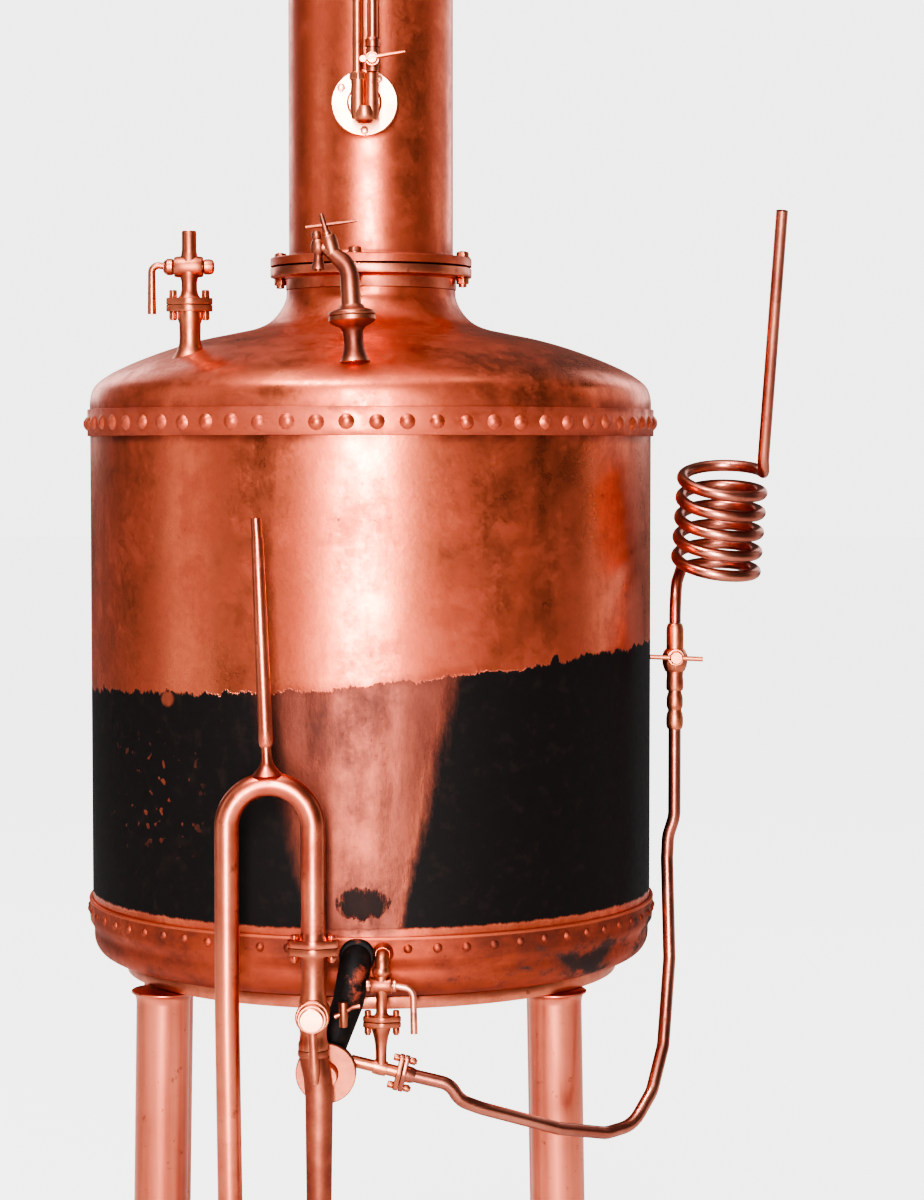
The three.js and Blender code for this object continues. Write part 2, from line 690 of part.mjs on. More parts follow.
const frontDisc = moved(rod(vector(0, 0, GAP / 2), vector(0, 0, 6), discRadius, 24), discFrame);
const drainTop = vector(TRAP_RIGHT, -TRAP_FRONT, 438 - GAP * 2);
const drainElbow = vector(DRAIN_X + 0.5, -TRAP_FRONT - 6, 412);
const drainEnd = vector(DRAIN_X, -TRAP_FRONT - 6, 56);
const drainRoute = bends([
  drainTop,
  vector(TRAP_RIGHT, -TRAP_FRONT, 434),
  vector(-39.5, -TRAP_FRONT - 3, 424),
  drainElbow,
  drainEnd,
], 30, 1);
const drainMouth = rod(drainEnd.clone().add(vector(0, 0, -2)), drainEnd.clone().add(vector(0, 0, 16)), 7, 12);
add("drain_pipe", cut(join(
  pipe(drainRoute, 9.8, 8),
  rod(drainTop, drainTop.clone().add(vector(0, 0, -8)), 12.2, 8),
  rod(vector(DRAIN_X - 0.5, -TRAP_FRONT - 5, 430), vector(DRAIN_X, -TRAP_FRONT - 6, 346), 12, 10, 10.2),
  rod(vector(-34, -320, discZ), vector(-36, -338, discZ), 9, 10),
  frontDisc,
), drainMouth), BRASS);

const discTool = moved(rod(vector(0, 0, -6 - GAP), vector(0, 0, 6 + GAP), discRadius + GAP, 24), discFrame);

// Small air screw with a bent wing on the outlet elbow.
const screwY = -318;
const outletTool = pipe(outletRoute, outletRadius + GAP * 1.4, 8);
add("outlet_air_screw", cut(join(
  rod(vector(-16, -296, 461), vector(-16, screwY - 1, 461), 4.2, 10),
  rod(vector(-16, screwY, 454), vector(-16, screwY, 476), 3.8, 10),
  rod(vector(-16, screwY, 466), vector(-6, screwY - 1, 473), 1.9, 6),
  rod(vector(-6.4, screwY - 1, 472.8), vector(-1, screwY - 1, 472.2), 1.9, 6),
  rod(vector(-16, screwY, 466), vector(-23, screwY, 463), 2.4, 6),
), outletTool), BRASS);

// ---------------------------------------------------------------- small drain cock

const smallX = SMALL_COCK_X;
const smallFront = 302;
const smallOval = ovalJoint({ spread: 12.8, round: 8.5, thick: 5, shank: 2.2, head: 3.6, headHeight: 5.4 });
const smallJoint = vector(18.2, -smallFront, 455);
const smallFrame = frameAt(smallJoint, UP);
const smallPlug = vector(smallX, -smallFront, 488);
const smallElbow = bends([
  vector(smallX + 1, -272, 514),
  vector(smallX + 1, -smallFront, 514),
  vector(smallX, -smallFront, 486),
], 11, 3);
const smallBody = join(
  pipe(smallElbow, 5.6, 8),
  rod(vector(smallX + 1, -272, 514), vector(smallX + 1, -288, 514), 9, 8),
  rod(vector(smallX - 10, -smallFront, 488), vector(smallX + 10, -smallFront, 488), 8.2, 10),
  rod(vector(smallX, -smallFront, 488), vector(18.2, -smallFront, 458), 5, 8),
  moved(smallOval.near, smallFrame),
);
const smallBore = rod(vector(smallX - 20, -smallFront, 488), vector(smallX + 20, -smallFront, 488), 4.6, 12);
add("small_cock_body", cut(smallBody, smallBore, potTool), BRASS);

const smallPlugFrame = frameAt(smallPlug, vector(1, 0, 0), vector(0, 1, 0));
const smallStem = moved(plugStem({
  bore: 4.6, back: 10, front: 10, nut: 5.6, nutHeight: 3.4, cap: 6, capHeight: 3,
}), smallPlugFrame);
const smallCrank = pipe(bends([
  vector(smallX + 10.5, -smallFront, 488),
  vector(46.5, -smallFront, 485),
  vector(47.2, -smallFront, 444),
], 7, 3), 3.1, 10);
add("small_cock_plug", join(smallStem, smallCrank), BRASS);

// Branch below the cock: reducer, tee and the inclined gauge pipe up to its own joint.
const gaugeSlope = vector(69.7, 0, -17.2).normalize();
const gaugeJoint = vector(35.7, -300, 408);
const gaugeOval = ovalJoint({ spread: 12.8, round: 8, thick: 4.6, shank: 2.2, head: 3.6, headHeight: 5.4 });
const gaugeFrame = frameAt(gaugeJoint, gaugeSlope.clone().negate(), UP);
const branchStart = gaugeJoint.clone().addScaledVector(gaugeSlope, -56);
const branchEnd = gaugeJoint.clone().addScaledVector(gaugeSlope, -3);
add("branch_tee", cut(join(
  moved(smallOval.far, smallFrame),
  rod(vector(18.2, -smallFront, 451), vector(17.4, -301, 437), 8, 10, 5.2),
  rod(vector(17.4, -301, 438), vector(16, -300, 413), 5, 10),
  rod(branchStart, branchEnd, 5.2, 10),
  moved(gaugeOval.near, gaugeFrame),
), outletTool, discTool), BRASS);

// ---------------------------------------------------------------- gauge pipe and riser

const feedStart = gaugeJoint.clone().addScaledVector(gaugeSlope, 3);
const feedRoute = bends([
  feedStart,
  vector(80, -298, 397),
  vector(88, -296, 382),
  vector(108, -291, 373.5),
  vector(180, -245, 344),
  vector(226, -208, 331),
  vector(252, -188, 334),
  vector(271, -170, 362),
  vector(283, -150, 402),
  vector(291, -118, 480),
  vector(289.5, -RISER_FRONT, 575),
  vector(290.5, -RISER_FRONT, 597),
  vector(RISER_X, -RISER_FRONT, 616),
  vector(RISER_X, -RISER_FRONT, 701),
], 22, 1);
add("gauge_pipe", join(pipe(feedRoute, GAUGE_TUBE, 8), moved(gaugeOval.far, gaugeFrame)), COPPER);

// Two waisted union nuts between the pipe and the riser cock.
add("riser_union", revolve([
  [0, 701.3],
  [6.6, 701.3],
  [8.1, 705],
  [8.1, 716],
  [6.6, 720],
  [7.8, 724],
  [7.8, 733],
  [6.4, 738.7],
  [0, 738.7],
], 12).translate(RISER_X, -RISER_FRONT, 0), BRASS);

const riserPlugZ = 771.5;
const riserBody = join(
  revolve([
    [0, 739],
    [7.6, 739],
    [8.3, 742],
    [8.3, 800],
    [6.8, 803.6],
    [0, 803.6],
  ], 12),
  revolve([
    [0, 757],
    [9.6, 757],
    [12.4, 766],
    [12.4, 774],
    [9, 779.5],
    [0, 779.5],
  ], 8),
  rod(vector(0, 13.5, riserPlugZ), vector(0, -13.5, riserPlugZ), 8, 8),
).translate(RISER_X, -RISER_FRONT, 0);
const riserBore = rod(
  vector(RISER_X, -RISER_FRONT + 20, riserPlugZ),
  vector(RISER_X, -RISER_FRONT - 25, riserPlugZ),
  4.8,
  12,
);
add("riser_cock_body", cut(riserBody, riserBore), BRASS);

// The riser cock's plug is turned by a tommy bar that crosses the riser.
const riserFrame = frameAt(vector(RISER_X, -RISER_FRONT, riserPlugZ), vector(0, -1, 0));
add("riser_cock_plug", moved(join(
  plugStem({ bore: 4.8, back: 13.5, front: 13.5, nut: 5.6, nutHeight: 3.2, cap: 6.4, capHeight: 9 }),
  rod(vector(-25, 0.9, 18.6), vector(25.5, -1.3, 18.6), 2.7, 8),
), riserFrame), BRASS);

// Left-handed coil; its axis and the open tube above lean to the right and to the front.
const coilAxis = vector(
  Math.sin(COIL_TO_RIGHT),
  -Math.sin(COIL_TO_VIEWER),
  Math.cos(COIL_TO_VIEWER),
).normalize();
const coilFrame = frameAt(vector(...COIL_CENTRE), coilAxis);
const coilSteps = Math.round(COIL_TURNS * COIL_FACETS);
const coilRoute = [];
for (let k = 0; k <= coilSteps; k += 1) {
  const angle = Math.PI - (k / COIL_FACETS) * Math.PI * 2;
  const height = (k / coilSteps - 0.5) * COIL_TURNS * COIL_PITCH;
  const point = vector(COIL_RADIUS * Math.cos(angle), COIL_RADIUS * Math.sin(angle), height);
  coilRoute.push(point.applyMatrix4(coilFrame));
}
const coilIn = [
  vector(RISER_X, -RISER_FRONT, 804),
  vector(RISER_X + 0.2, -RISER_FRONT + 1, 818),
  vector(RISER_X + 1.1, -RISER_FRONT + 6, 833),
  vector(RISER_X + 2.9, -RISER_FRONT + 17, 843.5),
];
const coilTubeWay = vector(0.043, -0.2419, 0.969).normalize();
const coilLast = coilRoute[coilRoute.length - 1];
const coilOut = [
  coilLast.clone().add(vector(-0.5, -6, 3)).addScaledVector(coilTubeWay, 3),
  coilLast.clone().add(vector(-1.5, -9, 4)).addScaledVector(coilTubeWay, 12),
  coilLast.clone().add(vector(-1.5, -9, 4)).addScaledVector(coilTubeWay, 248),
];
const coilTube = pipe([...coilIn, ...coilRoute.slice(1), ...coilOut], 5.7, 6);
const coilTip = coilOut[2];
const coilMouth = rod(
  coilTip.clone().addScaledVector(coilTubeWay, -14),
  coilTip.clone().addScaledVector(coilTubeWay, 2),
  4.1,
  10,
);
add("gauge_coil", cut(coilTube, coilMouth), COPPER);

// ---------------------------------------------------------------- cock on the lid's left

const lidX = -168.4;
const lidFront = 135;
const lidJoint = vector(lidX, -lidFront, 1108.8);
const lidOval = ovalJoint({ spread: 15.4, round: 12, thick: 6.4, shank: 2.8, head: 4.4, headHeight: 7.4 });
const lidFrame = frameAt(lidJoint, UP);
add("lid_cock_stub", cut(join(
  moved(lidOval.far, lidFrame),
  rod(vector(lidX, -lidFront, 1103), vector(lidX, -lidFront, 1093), 11, 12),
  rod(vector(lidX, -lidFront, 1100), vector(lidX, -lidFront, 1050), 10, 12),
  rod(vector(lidX + 3, -lidFront, 1050), vector(lidX, -lidFront, 1076), 19, 10, 10),
), potTool), BRASS);

const lidPlug = vector(lidX, -lidFront, 1144.5);
const lidBody = join(
  moved(lidOval.near, lidFrame),
  rod(vector(lidX, -lidFront, 1114), vector(lidX, -lidFront, 1150), 7.3, 10),
  rod(vector(lidX - 14, -lidFront, 1144.5), vector(lidX + 13, -lidFront, 1144.5), 10.4, 12),
  rod(vector(lidX, -lidFront, 1148), vector(lidX, -lidFront, 1178.5), 6.8, 10),
);
const lidBore = rod(vector(lidX - 30, -lidFront, 1144.5), vector(lidX + 30, -lidFront, 1144.5), 5.6, 12);
const lidMouth = rod(vector(lidX, -lidFront, 1160), vector(lidX, -lidFront, 1181), 4.6, 12);
add("lid_cock_body", cut(lidBody, lidBore, lidMouth), BRASS);

const lidPlugFrame = frameAt(lidPlug, vector(-1, 0, 0), vector(0, 1, 0));
const lidStem = moved(plugStem({
  bore: 5.6, back: 13, front: 14, nut: 7.2, nutHeight: 10, cap: 7.6, capHeight: 9.5,
}), lidPlugFrame);
const lidCrank = pipe(bends([
  vector(lidX - 20, -lidFront, 1144.5),
  vector(lidX - 35.6, -lidFront, 1146),
  vector(lidX - 35.6, -lidFront, 1100),
], 9, 3), 3.9, 10);
add("lid_cock_plug", join(lidStem, lidCrank), BRASS);

// ---------------------------------------------------------------- gooseneck cock, lid front

const gooseX = -10;
const gooseFront = 240;
const gooseLean = vector(-0.06, 0.06, 1).normalize();
const gooseJoint = vector(gooseX, -gooseFront, 1093.5);
const gooseFrame = frameAt(gooseJoint, gooseLean);
add("gooseneck_stub", cut(join(
  moved(revolve([
    [0, -GAP / 2],
    [0, -11],
    [10.5, -11],
    [21.6, -5.6],
    [21.6, -GAP / 2],
  ].reverse(), 18), gooseFrame),
  rod(gooseJoint, gooseJoint.clone().addScaledVector(gooseLean, -60), 8.8, 12),
  rod(vector(gooseX + 2, -gooseFront, 1040), vector(gooseX, -gooseFront, 1066), 15, 10, 9),
), potTool), BRASS);

const gooseNeck = gooseJoint.clone().addScaledVector(gooseLean, 36);
const gooseBend = vector(-15, -gooseFront + 3, 1140);
const gooseHead = vector(-31, -gooseFront + 5, 1153);
const goosePlugAxis = vector(-9.4, 0, 32).normalize();
const goosePlugBase = vector(-30, -gooseFront + 5, 1158);
const gooseBody = join(
  moved(revolve([
    [0, GAP / 2],
    [21.6, GAP / 2],
    [21.6, 3.4],
    [12, 7],
    [0, 7],
  ], 20), gooseFrame),
  pipe(bends([gooseJoint, gooseNeck, gooseBend, gooseHead], 18, 2), 8.6, 8),
  rod(vector(-25, -gooseFront + 5, 1157), vector(-44, -gooseFront + 5, 1155), 6.4, 8),
  rod(vector(-41, -gooseFront + 5, 1163), vector(-41, -gooseFront + 5, 1151), 6.6, 8),
  rod(vector(-41, -gooseFront + 5, 1136), vector(-41, -gooseFront + 5, 1152), 6.4, 10, 3.8),
  rod(vector(-42.8, -gooseFront + 5, 1162), vector(-42.8, -gooseFront + 5, 1171), 4.2, 10, 3),
  rod(goosePlugBase.clone().addScaledVector(goosePlugAxis, -9), goosePlugBase.clone().addScaledVector(goosePlugAxis, 9), 7.6, 10),
);
const gooseBore = rod(
  goosePlugBase.clone().addScaledVector(goosePlugAxis, -5),
  goosePlugBase.clone().addScaledVector(goosePlugAxis, 30),
  3.9,
  12,
);
const gooseMouth = rod(vector(-41, -gooseFront + 5, 1134), vector(-41, -gooseFront + 5, 1144), 3.2, 10);
add("gooseneck_body", cut(gooseBody, gooseBore, gooseMouth), BRASS);

const goosePlugFrame = frameAt(goosePlugBase, goosePlugAxis);
add("gooseneck_plug", moved(join(
  rod(vector(0, 0, -5 + GAP), vector(0, 0, 30), 3.9 - GAP, 10, 2.2),
  rod(vector(0, 0, 9 + GAP), vector(0, 0, 13), 4.7, 10, 4),
  rod(vector(-17, 0, 22), vector(30, 0, 14.4), 2, 8, 1.5),
), goosePlugFrame), BRASS);

// ---------------------------------------------------------------- fitting on the column

const fittingZ = 1304;
const discCentre = vector(-3.2, -COLUMN_RADIUS - 14, fittingZ);
const discAxis = frameAt(discCentre, vector(0, -1, 0));
const bossShape = join(
  moved(rod(vector(0, 0, -20), vector(0, 0, -6), 26, 24), discAxis),
  moved(rod(vector(0, 0, -6.4), vector(0, 0, 0), 32, 28), discAxis),
  moved(rod(vector(0, 0, 0), vector(0, 0, 5), 15, 14), discAxis),
  ...[147, 59, 270].map((degrees) => {
    const angle = THREE.MathUtils.degToRad(degrees);
    const centre = vector(26.5 * Math.cos(angle), 26.5 * Math.sin(angle), -1);
    return moved(rod(centre, centre.clone().add(vector(0, 0, 4.4)), 4.2, 6), discAxis);
  }),
);
add("column_boss", cut(bossShape, columnTool), BRASS);

const teeFront = 125;
add("column_tee", cut(join(
  rod(vector(-2, -100.8, 1297), vector(-2, -teeFront, 1297), 10, 10),
  rod(vector(-8, -teeFront, 1287), vector(-8, -teeFront, 1322), 7.2, 12),
  rod(vector(4.2, -teeFront, 1287), vector(4.2, -teeFront, 1329), 6.6, 12),
  rod(vector(-2, -teeFront, 1281), vector(-2, -teeFront, 1293), 7, 12, 11),
  rod(vector(-8, -teeFront, 1322), vector(-8, -teeFront, 1328.9), 8.6, 8),
  rod(vector(-8.8, -teeFront, 1328), vector(-8.8, -teeFront, 1456), 4.7, 8),
), rod(vector(-8.8, -teeFront, 1440), vector(-8.8, -teeFront, 1458), 3.2, 10)), BRASS);

const refluxX = 5.6;
const refluxFront = 130;
const columnCockZ = 1340;
const columnCockBody = join(
  rod(vector(refluxX, -refluxFront, 1329 + GAP), vector(refluxX, -refluxFront, 1352), 6.1, 8),
  rod(vector(refluxX, -refluxFront + 10, columnCockZ), vector(refluxX, -refluxFront - 11, columnCockZ), 6.8, 10),
);
const columnCockBore = rod(
  vector(refluxX, -refluxFront + 20, columnCockZ),
  vector(refluxX, -refluxFront - 20, columnCockZ),
  4,
  12,
);
add("column_cock_body", cut(columnCockBody, columnCockBore), BRASS);

const columnPlugFrame = frameAt(vector(refluxX, -refluxFront, columnCockZ), vector(0, -1, 0));
add("column_cock_plug", moved(join(
  plugStem({ bore: 4, back: 10, front: 11, nut: 5, nutHeight: 3, cap: 5.2, capHeight: 5 }),
  rod(vector(-8.4, -0.8, 14), vector(31, 6, 14), 2.1, 8, 1.7),
  rod(vector(-8.4, -0.8, 11.6), vector(-8.4, -0.8, 16.6), 3.6, 10),
), columnPlugFrame), BRASS);

// Reflux return: rises beside the column and turns in to the head.
const refluxRoute = bends([
  vector(refluxX, -refluxFront, 1352 + GAP),
  vector(refluxX, -refluxFront, 1580),
  vector(refluxX * 0.4, -60, 1580),
], 22, 5);
const headTool = revolve([
  [0, headBase + 9.4],
  [COLUMN_RADIUS + GAP, headBase + 9.4],
  [79 + GAP, headBase + 27 + GAP],
  [60 + GAP, headBase + 52 + GAP],
  [0, headBase + 78],
], 28);
add("reflux_pipe", cut(join(
  pipe(refluxRoute, 5.2, 8),
  rod(vector(refluxX, -refluxFront, 1352 + GAP), vector(refluxX, -refluxFront, 1360), 7, 8),
), headTool), COPPER);

export default group;
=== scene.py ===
# %% [markdown]
# # An alembic still in aged copper
# The still is a riveted copper pot on four tube legs. A domed lid narrows to a flanged neck,
# and above it stands the rectifying column with its swan neck. Cocks, an inverted-U trap and
# a coil on a thin riser hang round it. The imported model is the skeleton: every piece below
# takes its place from it and rides on one of its bodies.

# %% Load the frame
import math
import random

import bmesh
import bpy
from mathutils import Matrix, Vector


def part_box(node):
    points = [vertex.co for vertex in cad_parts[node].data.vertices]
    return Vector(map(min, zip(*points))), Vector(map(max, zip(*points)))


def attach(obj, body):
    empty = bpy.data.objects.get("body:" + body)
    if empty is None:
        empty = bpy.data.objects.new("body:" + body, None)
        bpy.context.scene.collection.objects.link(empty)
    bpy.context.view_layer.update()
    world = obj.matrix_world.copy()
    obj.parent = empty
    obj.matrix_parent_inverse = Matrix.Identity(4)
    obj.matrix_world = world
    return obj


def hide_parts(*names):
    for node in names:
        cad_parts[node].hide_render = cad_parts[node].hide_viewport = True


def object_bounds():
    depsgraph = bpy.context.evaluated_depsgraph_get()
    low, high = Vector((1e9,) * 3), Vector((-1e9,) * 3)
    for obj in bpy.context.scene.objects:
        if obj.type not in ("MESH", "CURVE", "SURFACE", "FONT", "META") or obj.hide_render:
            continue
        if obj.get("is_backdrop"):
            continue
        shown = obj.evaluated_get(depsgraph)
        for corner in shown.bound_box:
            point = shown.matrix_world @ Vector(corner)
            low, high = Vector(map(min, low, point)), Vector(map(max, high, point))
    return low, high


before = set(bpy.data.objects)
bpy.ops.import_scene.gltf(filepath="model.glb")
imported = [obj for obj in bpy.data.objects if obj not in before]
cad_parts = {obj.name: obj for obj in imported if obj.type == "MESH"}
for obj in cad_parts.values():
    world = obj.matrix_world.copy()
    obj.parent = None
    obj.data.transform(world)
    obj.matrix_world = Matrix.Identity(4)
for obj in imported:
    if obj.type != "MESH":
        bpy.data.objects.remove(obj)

cad_box = [list(corner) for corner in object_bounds()]
print("model from", [round(v, 3) for v in cad_box[0]], "to", [round(v, 3) for v in cad_box[1]])

# %% [markdown]
# ## Where things are
# A coppersmith measures a still from the axis of its pot, so this script does too: `at` takes
# millimetres from the pot's axis and from the floor and gives a point in the frame's metres.

# %% Pot axis
drum_low, drum_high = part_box("pot_drum")
AXIS = Vector(((drum_low.x + drum_high.x) / 2, (drum_low.y + drum_high.y) / 2, 0))
UP = Vector((0, 0, 1))
FRONT = Vector((0, -1, 0))
RIGHT = Vector((1, 0, 0))


def at(x, y, z):
    return AXIS + Vector((x, y, z)) / 1000


def stance(origin, along, across=RIGHT):
    """A matrix that stands a shape made along Z at origin, pointing along."""
    z = along.normalized()
    if abs(z.dot(across.normalized())) > 0.97:
        across = UP if abs(z.z) < 0.9 else FRONT
    x = (across - z * across.dot(z)).normalized()
    return Matrix.Translation(origin) @ Matrix((x, z.cross(x), z)).transposed().to_4x4()


print("pot axis at", [round(v, 4) for v in AXIS])

# %% [markdown]
# ## The workbench
# Nearly everything here was turned on a lathe, drawn as tube or cast with flanges. So a small
# workbench with four tools is enough: `turned` spins a profile, `rod` makes a bar or cone with
# eased edges, `pipe` extrudes a ring along a route, and `lozenge` hulls three discs into an
# oval flange. Each tool works in a mesh of its own, turns its faces outwards and adds it.


# %% Workbench: keeping a finished shape
class Bench:
    """Gathers the shapes of one piece into one mesh."""

    def __init__(self):
        self.whole = bmesh.new()

    def keep(self, part, place=None):
        if place is not None:
            bmesh.ops.transform(part, matrix=place, verts=part.verts)
        bmesh.ops.recalc_face_normals(part, faces=part.faces)
        mesh = bpy.data.meshes.new("part")
        part.to_mesh(mesh)
        part.free()
        self.whole.from_mesh(mesh)
        bpy.data.meshes.remove(mesh)
        return self

    def ease(self, part, width, steps=2, sharper=40):
        """Rounds every edge sharper than an angle in degrees; width in millimetres."""
        limit = math.radians(sharper)
        edges = [e for e in part.edges if len(e.link_faces) == 2 and e.calc_face_angle() > limit]
        if edges and width:
            bmesh.ops.bevel(
                part, geom=edges, offset=width / 1000, offset_type="OFFSET", segments=steps,
                profile=0.5, affect="EDGES", material=-1, clamp_overlap=True,
            )

    def turned(self, profile, origin=None, along=UP, steps=48, ease=0):
        """Spins [radius, height] pairs in millimetres about an axis."""
        part = bmesh.new()
        points = [part.verts.new((r / 1000, 0, z / 1000)) for r, z in profile]
        pairs = list(zip(points, points[1:]))
        if profile[0][0] > 0:
            pairs.append((points[-1], points[0]))
        edges = [part.edges.new(pair) for pair in pairs]
        bmesh.ops.spin(
            part, geom=points + edges, cent=(0, 0, 0), axis=(0, 0, 1),
            angle=math.tau, steps=steps, use_merge=True, use_duplicate=False,
        )
        bmesh.ops.remove_doubles(part, verts=part.verts, dist=1e-6)
        self.ease(part, ease)
        place = at(0, 0, 0) if origin is None else origin
        across = UP if abs(along.normalized().z) < 0.1 else RIGHT
        return self.keep(part, stance(place, along, across))

    def rod(self, start, end, radius, radius_end=None, sides=32, ease=0.5, across=RIGHT):
        part = bmesh.new()
        radius_end = radius if radius_end is None else radius_end
        bmesh.ops.create_cone(
            part, cap_ends=True, cap_tris=False, segments=sides,
            radius1=radius / 1000, radius2=radius_end / 1000, depth=(end - start).length,
        )
        self.ease(part, ease, sharper=50 if sides > 8 else 25)
        return self.keep(part, stance((start + end) / 2, end - start, across))


print("the workbench turns and draws")


# %% [markdown]
# ### Drawing a pipe
# A pipe could be a curve with a round section, but a mesh ring that is extruded, turned and
# moved along its route gives closed ends and open mouths in one go. At each step the ring turns
# only as far as the route does, so the wall never twists.

# %% Workbench: pipes
def spread_along(route, stops):
    """Radii for a route whose thickness changes evenly from stop to stop along its length."""
    walked = [0.0]
    for a, b in zip(route, route[1:]):
        walked.append(walked[-1] + (b - a).length)
    radii = []
    for distance in walked:
        place = distance / walked[-1] * (len(stops) - 1)
        i = min(int(place), len(stops) - 2)
        radii.append(stops[i] + (stops[i + 1] - stops[i]) * (place - i))
    return radii


def draw_pipe(self, route, radius, sides=24, mouths=(), wall=2, depth=14):
    """Extrudes a ring along points. Radius is one number, or stops spread along the route.
    A mouth is an end, "start" or "end", that is left open."""
    part = bmesh.new()
    last = len(route) - 1
    ways = []
    for i in range(last + 1):
        ways.append((route[min(i + 1, last)] - route[max(i - 1, 0)]).normalized())
    radii = spread_along(route, radius if isinstance(radius, (list, tuple)) else [radius, radius])
    ring = bmesh.ops.create_circle(part, cap_ends=False, segments=sides, radius=radii[0] / 1000)
    bmesh.ops.transform(part, matrix=stance(route[0], ways[0]), verts=ring["verts"])
    first_edges = list(part.edges)
    edges = first_edges
    for i in range(1, last + 1):
        grown = bmesh.ops.extrude_edge_only(part, edges=edges)["geom"]
        verts = [g for g in grown if isinstance(g, bmesh.types.BMVert)]
        edges = [g for g in grown if isinstance(g, bmesh.types.BMEdge)]
        turn = ways[i - 1].rotation_difference(ways[i]).to_matrix()
        bmesh.ops.rotate(part, cent=route[i - 1], matrix=turn, verts=verts)
        bmesh.ops.translate(part, vec=route[i] - route[i - 1], verts=verts)
        grow = radii[i] / radii[i - 1]
        if abs(grow - 1) > 1e-6:
            bmesh.ops.scale(part, vec=(grow,) * 3, space=Matrix.Translation(-route[i]), verts=verts)
    for end, rim, way in (("start", first_edges, -ways[0]), ("end", edges, ways[-1])):
        cap = bmesh.ops.contextual_create(part, geom=rim)["faces"]
        if end in mouths:
            bmesh.ops.recalc_face_normals(part, faces=part.faces)
            bmesh.ops.inset_region(part, faces=cap, thickness=wall / 1000, use_even_offset=True)
            inner = bmesh.ops.extrude_face_region(part, geom=cap)["geom"]
            verts = [g for g in inner if isinstance(g, bmesh.types.BMVert)]
            bmesh.ops.translate(part, vec=-way * depth / 1000, verts=verts)
            bmesh.ops.delete(part, geom=cap, context="FACES_ONLY")
    return self.keep(part)


Bench.pipe = draw_pipe
print("pipes are extruded along their routes")


# %% [markdown]
# ### Oval flanges
# A two-bolt flange has a fat middle and two small ends. A convex hull round three discs is
# exactly that shape, with its flanks already tangent, so nothing has to be drawn.

# %% Workbench: oval flanges
def draw_lozenge(self, origin, along, across, spread, hub, tip, low, high):
    """An oval flange: a hub disc and two end discs in one hull, from low to high."""
    part = bmesh.new()
    for x, r in ((-spread, tip), (0, hub), (spread, tip)):
        bmesh.ops.create_cone(
            part, cap_ends=True, segments=36, radius1=r / 1000, radius2=r / 1000,
            depth=(high - low) / 1000, matrix=Matrix.Translation((x / 1000, 0, (low + high) / 2000)),
        )
    hull = bmesh.ops.convex_hull(part, input=part.verts)
    spare = [g for g in hull["geom_interior"] + hull["geom_unused"] if g.is_valid]
    verts = [g for g in spare if isinstance(g, bmesh.types.BMVert)]
    bmesh.ops.delete(part, geom=verts, context="VERTS")
    bmesh.ops.dissolve_limit(part, angle_limit=0.01, verts=part.verts, edges=part.edges)
    self.ease(part, 0.8)
    return self.keep(part, stance(origin, along, across))


Bench.lozenge = draw_lozenge
print("oval flanges are hulled")


# %% [markdown]
# ### Bends and curves
# A bender rounds the corners of a pipe by arcs, and a hammered sheet follows one easy curve.
# `bends` does the first to a route and `eased` the second to a profile, so each piece below
# needs only its corner points.

# %% Workbench: bends and curves
def bends(corners, radius, steps=8):
    """Rounds the inner corners of a route, as a pipe bender does; radius in millimetres."""
    route = [corners[0]]
    for before, corner, after in zip(corners, corners[1:], corners[2:]):
        back, on = before - corner, after - corner
        room = min(back.length, on.length) * 0.49
        back, on = back.normalized(), on.normalized()
        half = back.angle(on) / 2
        reach = min(radius / 1000 / math.tan(half), room)
        inner = reach * math.tan(half)
        centre = corner + (back + on).normalized() * (inner / math.sin(half))
        start, end = corner + back * reach - centre, corner + on * reach - centre
        sweep = start.angle(end)
        for k in range(steps + 1):
            f = k / steps
            arm = start * math.sin((1 - f) * sweep) + end * math.sin(f * sweep)
            route.append(centre + arm / math.sin(sweep))
    return route + [corners[-1]]


def eased(points, steps=6):
    """A smooth curve through [radius, height] pairs."""
    path = [Vector(p) for p in points]
    path = [path[0] * 2 - path[1]] + path + [path[-1] * 2 - path[-2]]
    curve = []
    for a, b, c, d in zip(path, path[1:], path[2:], path[3:]):
        ta = 0.0
        tb = ta + (b - a).length ** 0.5
        tc = tb + (c - b).length ** 0.5
        td = tc + (d - c).length ** 0.5
        for k in range(steps):
            t = tb + (tc - tb) * k / steps
            p = a.lerp(b, (t - ta) / (tb - ta))
            q = b.lerp(c, (t - tb) / (tc - tb))
            r = c.lerp(d, (t - tc) / (td - tc))
            u = p.lerp(q, (t - ta) / (tc - ta))
            v = q.lerp(r, (t - tb) / (td - tb))
            curve.append(u.lerp(v, (t - tb) / (tc - tb)))
    return [(p.x, p.y) for p in curve] + [tuple(points[-1])]


print("pipes bend and profiles ease")

# %% [markdown]
# ## Finishes
# Old copper is never one colour. Heat reddens it, steam leaves vertical streaks, hands polish
# the cocks, and the fire cakes the lower drum with soot. Each finish is worked out from the
# position on the still in metres, so a streak runs on from one piece to the next. A small
# wrapper lets that shader maths be written as ordinary sums.


